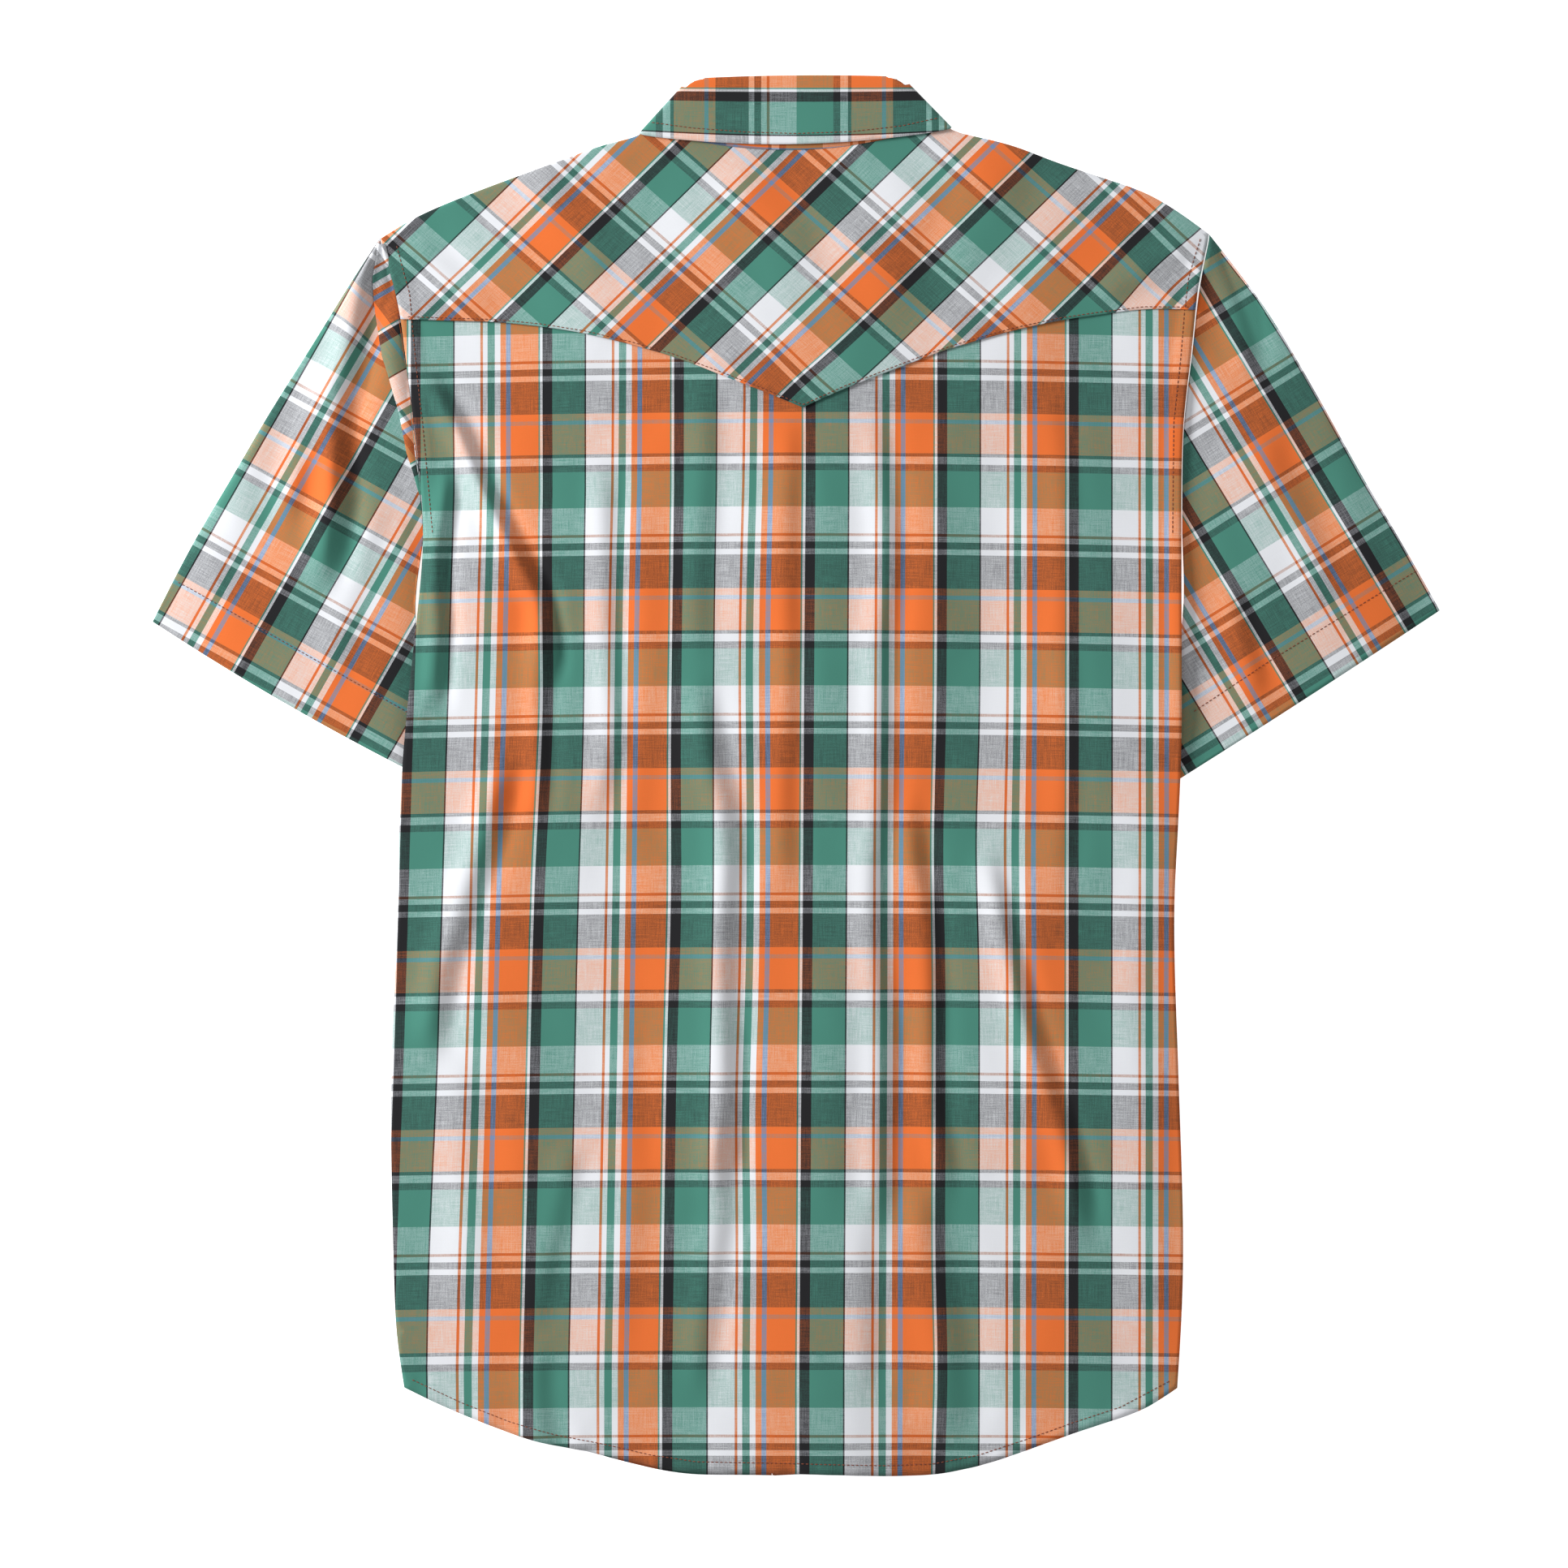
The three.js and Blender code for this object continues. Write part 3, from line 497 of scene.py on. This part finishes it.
YOKE_FOLDS = [
    {"path": [(-222, 300), (-200, 282), (-176, 272)], "width": 8, "height": 0.9},
    {"path": [(-150, 345), (-128, 312), (-110, 290)], "width": 13, "height": 0.9},
    {"path": [(-30, 352), (-12, 310), (-8, 270)], "width": 14, "height": 0.8},
    {"path": [(120, 350), (104, 310), (90, 280)], "width": 14, "height": 0.9},
    {"path": [(228, 305), (200, 290), (176, 281)], "width": 8, "height": 1.0},
    {"path": [(60, 345), (52, 300), (58, 262)], "width": 12, "height": 0.7},
]
YOKE_POINT = 3.7
back_yoke = outer_skin("back_yoke", (0, 0, 1), 3, sharp=[(YOKE_POINT, 210.9)])
points = points_of(back_yoke)
yoke_places = [*np.linspace(-222, YOKE_POINT, 10), *np.linspace(YOKE_POINT, 224, 10)[1:]]
yoke_edge = rim_line(back_yoke, 205, 268.5, yoke_places)
lay_plaid(back_yoke, yoke_chart)
on_top = ease((points[:, 2] - 1.6) / 1.0) * ease((368 - points[:, 1]) / 22)
points[:, 2] += on_top * fold_height(BACK_FOLDS, points[:, 0], points[:, 1])
points[:, 2] += on_top * fold_height(YOKE_FOLDS, points[:, 0], points[:, 1])
points[:, 2] += on_top * (rumple(points[:, 0], points[:, 1]) + seam_rise(points))
move_points(back_yoke, points)
make_cloth(back_yoke, "back_yoke")


# Fronts and placket
# Two fronts on the straight grain, face down. The band of the left front carries the snaps,
# and the right front's edge lies over it, inside the shirt.

left_front = outer_skin("left_front", (0, 0, -1), 2)
lay_plaid(left_front, body_chart)
make_cloth(left_front, "left_front")
right_front = outer_skin("right_front", (0, 0, -1), 2)
lay_plaid(right_front, body_chart)
make_cloth(right_front, "right_front")
front_placket = outer_skin("front_placket", (0, 0, -1), 2)
lay_plaid(front_placket, body_chart)
make_cloth(front_placket, "front_placket")


# Sleeves
# Each is one piece of the same cloth seamed under the arm and set into the armhole.
# They lie folded flat, their lower corners tucked beneath the body.

# The crease where the left sleeve's cap rolls over, from the shoulder down to the armhole.
ROLL_CREASE = [
    (-240, 307), (-241, 297), (-243, 285), (-242.4, 271), (-241, 261), (-239.4, 250.6), (-237.7, 240.5),
    (-234, 229), (-231.5, 220), (-228, 208), (-226, 197.5), (-223.6, 185), (-220, 174), (-216.4, 160),
]
RIGHT_FOLD = [
    (237.3, 310.3), (266.1, 273.2), (283.8, 244.9), (305.2, 207.6), (325.7, 170.3), (348.1, 133),
    (369.5, 94.8),
]


left_straight = slanted_chart(
    {"across": (0.869, -0.495), "start": -310.9, "repeat": 76.0},
    {"across": (-0.485, -0.8745), "start": 70.8, "repeat": 99.2},
)
right_straight = slanted_chart(
    {"across": (0.857, 0.515), "start": 342.1, "repeat": 75.0},
    {"across": (0.53, -0.848), "start": -23.6, "repeat": 102.4},
)


def left_chart(points, centres):
    """Straight stripes that sink towards the crease of the cap's roll."""
    warp, weft = left_straight(points)
    from_crease = path_reading(ROLL_CREASE, points[:, 1]) - points[:, 0]
    sunk = 5.5 * np.exp(-(from_crease / 13) ** 2) * ease((points[:, 1] - 205) / 40)
    return warp, weft - sunk / 99.7


def right_chart(points, centres):
    """Straight stripes; the sleeve's other half shows as a pale rim along its outer fold."""
    warp, weft = right_straight(points)
    fold = np.array(RIGHT_FOLD)

    def depth(at):
        return (np.interp(-at[:, 1], -fold[:, 1], fold[:, 0]) - at[:, 0]) * 0.86

    rim = (depth(centres) < 1.9) & (centres[:, 1] < 300)
    return np.where(rim, (25.9 + 1.2 * (2.0 - depth(points))) / WARP_REPEAT, warp), weft


SLEEVE_FOLDS = {
    "left_sleeve": [
        {"path": [(-243, 318), (-256, 268), (-264, 222), (-266, 200), (-266, 161), (-275, 118)],
         "width": 8, "height": 4.0},
        {"path": [(-272, 232), (-281, 200), (-292, 150)], "width": 7, "height": 1.5},
        {"path": [(-245, 152), (-258, 100), (-270, 60)], "width": 8, "height": 0.8},
        {"path": [(-306, 205), (-322, 160), (-338, 110)], "width": 11, "height": 0.8},
    ],
    "right_sleeve": [
        {"path": [(236, 314), (240, 290), (250, 262), (260, 232)], "width": 7, "height": 1.7},
        {"path": [(248, 104), (252, 78), (262, 48)], "width": 7, "height": 1.7},
        {"path": [(266, 190), (286, 140), (304, 100)], "width": 9, "height": 1.1},
        {"path": [(300, 205), (316, 160), (332, 115)], "width": 11, "height": 0.8},
    ],
}


def beside_body(name, points):
    """How each sleeve dips where it comes out from beneath the body, in millimetres."""
    x, y = points[:, 0], points[:, 1]
    if name == "left_sleeve":
        out = np.maximum(path_reading(LEFT_EDGE, y) - x, 0)
        return -1.3 * np.exp(-(out / 8) ** 2) * ease((170 - y) / 30)
    out = np.maximum(x - path_reading(RIGHT_EDGE, y), 0)
    cap = ease((y - 150) / 50)
    return -(1.6 + 1.1 * cap) * (1 - np.exp(-out / 6.5)) * np.exp(-(out / 34) ** 2)


SLEEVE_OPENINGS = {
    "left_sleeve": [((-0.497, -0.868, 0), -900), ((0.99, 0.13, 0), 137)],
    "right_sleeve": [((0.517, -0.856, 0), -900), ((-0.99, 0.13, 0), 137)],
}
sleeves = {}
for name, chart in (("left_sleeve", left_chart), ("right_sleeve", right_chart)):
    sleeve = outer_skin(name, (0, 0, 1), 3, openings=SLEEVE_OPENINGS[name])
    points = points_of(sleeve)
    lay_plaid(sleeve, chart)
    on_top = ease((points[:, 2] - 1.9) / 0.7)
    rise = fold_height(SLEEVE_FOLDS[name], points[:, 0], points[:, 1])
    rise += rumple(points[:, 0], points[:, 1]) + beside_body(name, points)
    points[:, 2] += on_top * rise
    points[:, 2] = np.where(on_top > 0.5, np.maximum(points[:, 2], 1.2), points[:, 2])
    move_points(sleeve, points)
    make_cloth(sleeve, name)
    sleeves[name] = sleeve


# Roll of the left sleeve's cap
# The cap's fullness rolls over beside the armhole seam and shows the cloth turned round.
# It is a narrow strip of the sleeve's own cloth, so it goes with the sleeve.

ROLL_SEAM = [
    (-236, 307), (-234, 298), (-229, 277), (-226, 261), (-224.3, 249.4), (-222.5, 234.5), (-221.2, 219.4),
    (-219.5, 199), (-217.5, 182), (-214.5, 160),
]
roll_chart = slanted_chart(
    {"across": (0.5, -0.866), "start": -415.0, "repeat": 75.0},
    {"across": (-0.8, -0.6), "start": 30.8, "repeat": 103.0},
)


def surface(pieces):
    """A search tree over the pieces as they are drawn."""
    view = bpy.context.evaluated_depsgraph_get()
    spots, faces = [], []
    for piece in pieces:
        drawn = piece.evaluated_get(view)
        mesh = drawn.to_mesh()
        first = len(spots)
        spots += [v.co.copy() for v in mesh.vertices]
        faces += [[first + i for i in p.vertices] for p in mesh.polygons]
        drawn.to_mesh_clear()
    return BVHTree.FromPolygons(spots, faces)


def top_of(tree, x, y):
    """Height of a surface seen from above, or None beside it, in millimetres."""
    hit = tree.ray_cast(Vector((x * MM, y * MM, 0.05)), Vector((0, 0, -1)))[0]
    return None if hit is None else hit.z / MM


def roll_piece():
    under = surface([sleeves["left_sleeve"]])
    stations, cells = 90, 12
    spots, faces = [], []
    for i in range(stations + 1):
        y = 305 - 144 * i / stations
        low = float(path_reading(ROLL_CREASE, y))
        high = float(path_reading(ROLL_SEAM, y))
        size = min(1.0, (high - low) / 12)
        for j in range(cells + 1):
            t = j / cells
            x = low + (high - low) * t
            base = top_of(under, x, y) or 3.4
            arch = math.sin(math.pi * (0.12 + 0.88 * t) ** 0.8)
            dent = 0.25 * math.sin(y / 4.3) + 0.2 * math.sin(y / 9.1 + 2 * t)
            spots.append((x * MM, y * MM, (base - 0.35 + size * (2.3 * arch + dent * t * (1 - t) * 3)) * MM))
    for i in range(stations):
        for j in range(cells):
            a = i * (cells + 1) + j
            faces.append((a, a + cells + 1, a + cells + 2, a + 1))
    mesh = bpy.data.meshes.new("left_sleeve_roll")
    mesh.from_pydata(spots, [], faces)
    piece = bpy.data.objects.new("left_sleeve_roll", mesh)
    bpy.context.scene.collection.objects.link(piece)
    return piece


left_roll = roll_piece()
lay_plaid(left_roll, roll_chart)
finish_cloth(left_roll)
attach(left_roll, "root")


# Collar
# The leaf is two plies of shirting folded over the stand; the stand is a strip round the neck.
# The plaid's warp runs along the collar, and its stripes bow a little with the leaf's edge.

# The fold's ends, and the weft's repeat on the collar, a little longer than on the body.
COLLAR_TURN = 58.0
COLLAR_WEFT_REPEAT = 101.8


def collar_chart(points, centres):
    """The warp runs along the collar, across the neck behind and down each side in front."""
    x, y = points[:, 0], points[:, 1]
    behind = centres[:, 2] > 2.85
    depth = 399.9 - y
    bow = 0.54 * 6.7 * (x / 88) ** 2 * depth / 38
    warp = np.where(behind, depth - 6.5 + bow, np.abs(x) - COLLAR_TURN) / WARP_REPEAT
    weft = np.where(behind, (55.5 - x) / COLLAR_WEFT_REPEAT, (y - 300.0) / COLLAR_WEFT_REPEAT)
    return warp, weft


def stand_seam(x):
    """Height of the stand's seam behind: it shows as a thin strip under the leaf's edge."""
    return 358.7 + 12.5 * (x / 84) ** 2


def stand_chart(points, centres):
    """At the seam behind, a blue stripe and then orange; elsewhere as on the leaf."""
    x, y = points[:, 0], points[:, 1]
    behind = centres[:, 2] > 2.85
    warp = np.where(behind, 58.7 + y - stand_seam(x), np.abs(x) - COLLAR_TURN) / WARP_REPEAT
    return warp, np.where(behind, (x + 40.0) / COLLAR_WEFT_REPEAT, (y - 300.0) / COLLAR_WEFT_REPEAT)


# Where the fold ends at each side: corner, the way along the fold and the way down the side.
COLLAR_CORNERS = [
    ((-58.9, 399.3), (1.0, 0.01), (-0.674, -0.739)),
    ((58.1, 400.2), (-1.0, 0.0), (0.697, -0.717)),
]


def round_corners(points, radius):
    """Pulls a piece's outline in to an arc at both ends of the collar's fold."""
    for corner, along, down in COLLAR_CORNERS:
        along, down = np.array(along), np.array(down)
        middle = along + down
        middle = middle / np.hypot(*middle)
        half = math.acos(float(middle @ along) / float(np.hypot(*along)))
        centre = np.array(corner) + middle * radius / math.sin(half)
        away = points[:, :2] - centre
        gap = np.hypot(*away.T)
        outside = (gap > radius) & (away @ -middle > gap * math.cos(math.pi / 2 - half))
        scale = np.where(outside, radius / np.maximum(gap, 1e-6), 1.0)
        points[:, :2] = centre + away * scale[:, None]


collar_stand = outer_skin("collar_stand", (0, 0, 1), 3)
points = points_of(collar_stand)
round_corners(points, 14.2)
behind = ease((points[:, 2] - 2.85) / 0.5)
down = np.clip((396 - points[:, 1]) / 28, 0, 1) * behind
seam_now = 373.1 - 6.1 * (1 - (points[:, 0] / 84) ** 2)
points[:, 1] += down * np.minimum(stand_seam(points[:, 0]) - seam_now, 0)
points[:, 2] += down * 0.55
move_points(collar_stand, points)
lay_plaid(collar_stand, stand_chart)
make_cloth(collar_stand, "collar_stand")
collar_leaf = outer_skin("collar_leaf", (0, 0, 1), 3, rounded=True)
points = points_of(collar_leaf)
round_corners(points, 15.0)
behind = ease((points[:, 2] - 2.85) / 0.5)
down = np.clip((399 - points[:, 1]) / 32, 0, 1) * behind
points[:, 2] += down * (0.9 + 0.25 * np.sin(points[:, 0] / 11.0) + 0.2 * np.sin(points[:, 0] / 23.0 + 1))
move_points(collar_leaf, points)
lay_plaid(collar_leaf, collar_chart)
make_cloth(collar_leaf, "collar_leaf")


# Seam stitches
# Rust polyester thread, ten stitches to the inch, sewn along every finished edge.
# Yoke, armholes, collar, hems and placket each have one row or two.

def stitch_rows():
    """Node group that sets a rounded stitch at every pitch of a path."""
    group = bpy.data.node_groups.new("stitch_row", "GeometryNodeTree")
    group.interface.new_socket("Geometry", in_out="INPUT", socket_type="NodeSocketGeometry")
    for label in ("Pitch", "Length", "Width"):
        group.interface.new_socket(label, in_out="INPUT", socket_type="NodeSocketFloat")
    group.interface.new_socket("Thread", in_out="INPUT", socket_type="NodeSocketMaterial")
    group.interface.new_socket("Geometry", in_out="OUTPUT", socket_type="NodeSocketGeometry")
    given = group.nodes.new("NodeGroupInput").outputs
    line = add_node(group, "GeometryNodeMeshToCurve", i0=given["Geometry"])
    spaced = group.nodes.new("GeometryNodeResampleCurve")
    for socket in spaced.inputs:
        if socket.name == "Mode":
            socket.default_value = "Length"
    if hasattr(spaced, "mode"):
        spaced.mode = "LENGTH"
    group.links.new(line.outputs[0], spaced.inputs["Curve"])
    group.links.new(given["Pitch"], spaced.inputs["Length"])
    bead = add_node(group, "GeometryNodeMeshUVSphere", Segments=6, Rings=4, Radius=0.5)
    tangent = group.nodes.new("GeometryNodeInputTangent")
    turned = add_node(group, "FunctionNodeAlignRotationToVector", {"axis": "X"}, Vector=tangent.outputs[0])
    size = add_node(group, "ShaderNodeCombineXYZ", i0=given["Length"], i1=given["Width"], i2=given["Width"])
    placed = add_node(
        group, "GeometryNodeInstanceOnPoints",
        Points=spaced.outputs[0], Instance=bead.outputs[0],
        Rotation=turned.outputs[0], Scale=size.outputs[0],
    )
    real = add_node(group, "GeometryNodeRealizeInstances", i0=placed.outputs[0])
    threaded = add_node(group, "GeometryNodeSetMaterial", Geometry=real.outputs[0], Material=given["Thread"])
    group.links.new(threaded.outputs[0], group.nodes.new("NodeGroupOutput").inputs[0])
    return group


STITCHES = stitch_rows()
PITCH = 2.6
rust_thread = bpy.data.materials.new("rust_polyester_thread")
rust_thread.use_nodes = True
# Spun polyester: a slight lustre, much less than silk.
thread_shader = rust_thread.node_tree.nodes["Principled BSDF"]
thread_shader.inputs["Base Color"].default_value = linear("7c3c24")
thread_shader.inputs["Roughness"].default_value = 0.55


def sew(name, rows, onto, below=False):
    """Rows of stitches along paths in millimetres, set down on the pieces or up against them."""
    target = surface(onto)
    spots, edges = [], []
    for row in rows:
        path = np.array(row, float)
        lengths = np.hypot(*np.diff(path, axis=0).T)
        at = np.concatenate([[0], np.cumsum(lengths)])
        count = max(2, round(at[-1] / 1.5))
        last = None
        for s in np.linspace(0, at[-1], count):
            x, y = np.interp(s, at, path[:, 0]) * MM, np.interp(s, at, path[:, 1]) * MM
            start = Vector((x, y, -0.05 if below else 0.05))
            hit = target.ray_cast(start, Vector((0, 0, 1 if below else -1)))[0]
            if hit is None:
                last = None
                continue
            spots.append((x, y, max(hit.z + (0.08 if below else 0.14) * MM, 0.25 * MM)))
            if last is not None:
                edges.append((last, len(spots) - 1))
            last = len(spots) - 1
    guide_mesh = bpy.data.meshes.new(name)
    guide_mesh.from_pydata(spots, edges, [])
    guide = bpy.data.objects.new(name, guide_mesh)
    bpy.context.scene.collection.objects.link(guide)
    rows_of = guide.modifiers.new("stitches", "NODES")
    rows_of.node_group = STITCHES
    sizes = {"Pitch": PITCH * MM, "Length": 2.0 * MM, "Width": 0.6 * MM, "Thread": rust_thread}
    for item in STITCHES.interface.items_tree:
        if item.in_out == "INPUT" and item.name in sizes:
            rows_of[item.identifier] = sizes[item.name]
    stitches = settled(guide, name)
    stitches.data.polygons.foreach_set("use_smooth", [True] * len(stitches.data.polygons))
    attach(stitches, "root")
    return stitches


def shifted(path, away):
    """A path moved sideways, to its left as it runs, in millimetres."""
    path = np.array(path, float)
    run = np.gradient(path, axis=0)
    run /= np.hypot(*run.T)[:, None]
    return path + away * np.stack([-run[:, 1], run[:, 0]], axis=1)


sew("yoke_stitches", [shifted(yoke_edge, 1.5)], [back_yoke])
sew("back_hem_stitches", [shifted(back_hem, 6.0)], [back_panel])
sew("armhole_stitches", [
    [(-229, 303), (-225, 288), (-221.8, 276.6), (-219.5, 250), (-214.6, 203), (-208.6, 140)],
    [(231.6, 307), (228, 296), (224.9, 285), (222.6, 266), (220.5, 240), (216.5, 203), (215.8, 140)],
], [back_panel, back_yoke])
sew("sleeve_hem_stitches", [
    [(-354, 110.5), (-347.2, 106.9), (-285, 71.5), (-223.7, 36.6)],
    [(229, 37.2), (272.6, 66.4), (334.1, 104.2), (355, 117)],
], list(sleeves.values()))
sew("sleeve_hem_stitches_below", [
    [(-354, 110.5), (-347.2, 106.9), (-285, 71.5), (-212, 30)],
    [(214, 27), (272.6, 66.4), (334.1, 104.2), (355, 117)],
], list(sleeves.values()), below=True)
sew("collar_stitches", [
    [(-82, 374.3), (-60, 371.2), (-30, 368.9), (0, 368), (30, 368.9), (60, 372.3), (80, 376.6)],
], [collar_leaf])
front_hems = [shifted(back_hem[:9], 6.0), shifted(back_hem[8:], 6.0)]
sew("front_hem_stitches", front_hems, [left_front, right_front], below=True)
sew("placket_stitches", [
    [(-10.7, -395), (-10.7, 262)], [(18.1, -395), (18.1, 262)],
], [front_placket, left_front, right_front], below=True)


# Snaps
# Pearl snaps: a domed plastic face held in a thin nickel rim, pressed through the placket.
# They face down, so the shirt rests on them.

def plain_finish(name, colour, **settings):
    """A material of one even colour; settings are the shader's own inputs."""
    material = bpy.data.materials.new(name)
    material.use_nodes = True
    shader = material.node_tree.nodes["Principled BSDF"]
    shader.inputs["Base Color"].default_value = linear(colour)
    for key, value in settings.items():
        shader.inputs[key.replace("_", " ")].default_value = value
    return material


# Pearl plastic: milky, glossy, with a soft clear coat. Nickel: bright and smooth.
pearl = plain_finish("pearl_plastic", "ece8dd", Roughness=0.28, Coat_Weight=0.5, Coat_Roughness=0.1)
nickel = plain_finish("nickel_rim", "b9b6ae", Roughness=0.24, Metallic=1.0)
# Half profile in millimetres: radius and height, from the middle of the face to its back.
SNAP_PROFILE = [
    (0, 0), (1.6, 0.04), (3.0, 0.16), (4.0, 0.36), (4.4, 0.56), (4.5, 0.5), (4.75, 0.28),
    (5.1, 0.3), (5.4, 0.62), (5.5, 1.0), (5.4, 1.4), (5.1, 1.6), (0, 1.6),
]
PEARL_RINGS = 4
AROUND = 40
SNAP_COUNT = 7
SNAP_X = 3.7
FIRST_SNAP_Y = 247
SNAP_PITCH = 92
for number in range(1, SNAP_COUNT + 1):
    centre = (SNAP_X, FIRST_SNAP_Y - SNAP_PITCH * (number - 1))
    turns = [math.tau * k / AROUND for k in range(AROUND)]
    ring = [
        [(centre[0] + r * math.cos(turn), centre[1] + r * math.sin(turn), z) for turn in turns]
        for r, z in SNAP_PROFILE[1:-1]
    ]
    spots = [(*centre, 0)] + [spot for row in ring for spot in row] + [(*centre, 1.6)]
    faces = [(0, 1 + (k + 1) % AROUND, 1 + k) for k in range(AROUND)]
    for j in range(len(ring) - 1):
        for k in range(AROUND):
            low, high = 1 + j * AROUND, 1 + (j + 1) * AROUND
            m = (k + 1) % AROUND
            faces.append((low + k, low + m, high + m, high + k))
    last = 1 + (len(ring) - 1) * AROUND
    faces += [(last + k, last + (k + 1) % AROUND, len(spots) - 1) for k in range(AROUND)]
    mesh = bpy.data.meshes.new(f"snap_{number}")
    mesh.from_pydata([(x * MM, y * MM, z * MM) for x, y, z in spots], [], faces)
    mesh.materials.append(pearl)
    mesh.materials.append(nickel)
    for index, polygon in enumerate(mesh.polygons):
        polygon.use_smooth = True
        polygon.material_index = 0 if index < AROUND * (PEARL_RINGS + 1) else 1
    snap = bpy.data.objects.new(f"snap_{number}", mesh)
    bpy.context.scene.collection.objects.link(snap)
    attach(snap, "root")
    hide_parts(f"snap_cap_{number}")


# Floor, light and camera
# A plain white table under soft studio light, seen from straight above as in the photograph.

def table_finish():
    """Opal acrylic of a light table: matt white, lit from below, so that shadows wash out."""
    material = bpy.data.materials.new("opal_acrylic_table")
    material.use_nodes = True
    shader = material.node_tree.nodes["Principled BSDF"]
    shader.inputs["Base Color"].default_value = linear("f6f6f7")
    shader.inputs["Roughness"].default_value = 0.9
    shader.inputs["Emission Color"].default_value = (1, 1, 1, 1)
    shader.inputs["Emission Strength"].default_value = 0.75
    return material


floor_mesh = bpy.data.meshes.new("table")
reach = 3.0
floor_mesh.from_pydata(
    [(-reach, -reach, 0), (reach, -reach, 0), (reach, reach, 0), (-reach, reach, 0)], [], [(0, 1, 2, 3)],
)
floor_mesh.materials.append(table_finish())
floor = bpy.data.objects.new("table", floor_mesh)
bpy.context.scene.collection.objects.link(floor)

world = bpy.data.worlds.new("studio")
bpy.context.scene.world = world
world.use_nodes = True
world.node_tree.nodes["Background"].inputs["Color"].default_value = (1, 1, 1, 1)
world.node_tree.nodes["Background"].inputs["Strength"].default_value = 0.47


def softbox(name, place, size, watts):
    lamp = bpy.data.lights.new(name, "AREA")
    lamp.shape = "SQUARE"
    lamp.size = size
    lamp.energy = watts
    light = bpy.data.objects.new(name, lamp)
    light.location = place
    light.rotation_euler = (-Vector(place)).to_track_quat("-Z", "Y").to_euler()
    bpy.context.scene.collection.objects.link(light)


softbox("key_softbox", (-2.5, 0.9, 1.38), 0.9, 110)
softbox("fill_softbox", (1.2, 0.6, 2.8), 1.8, 6)

PHOTO_WIDTH = 0.9003
CAMERA_HEIGHT = 4.0
lens = bpy.data.cameras.new("camera")
lens.sensor_width = 36
lens.lens = 36 * CAMERA_HEIGHT / PHOTO_WIDTH
lens.clip_end = 20
camera = bpy.data.objects.new("camera", lens)
camera.location = (-0.007, -0.0049, CAMERA_HEIGHT)
bpy.context.scene.collection.objects.link(camera)
bpy.context.scene.camera = camera
bpy.context.scene.view_settings.view_transform = "Standard"
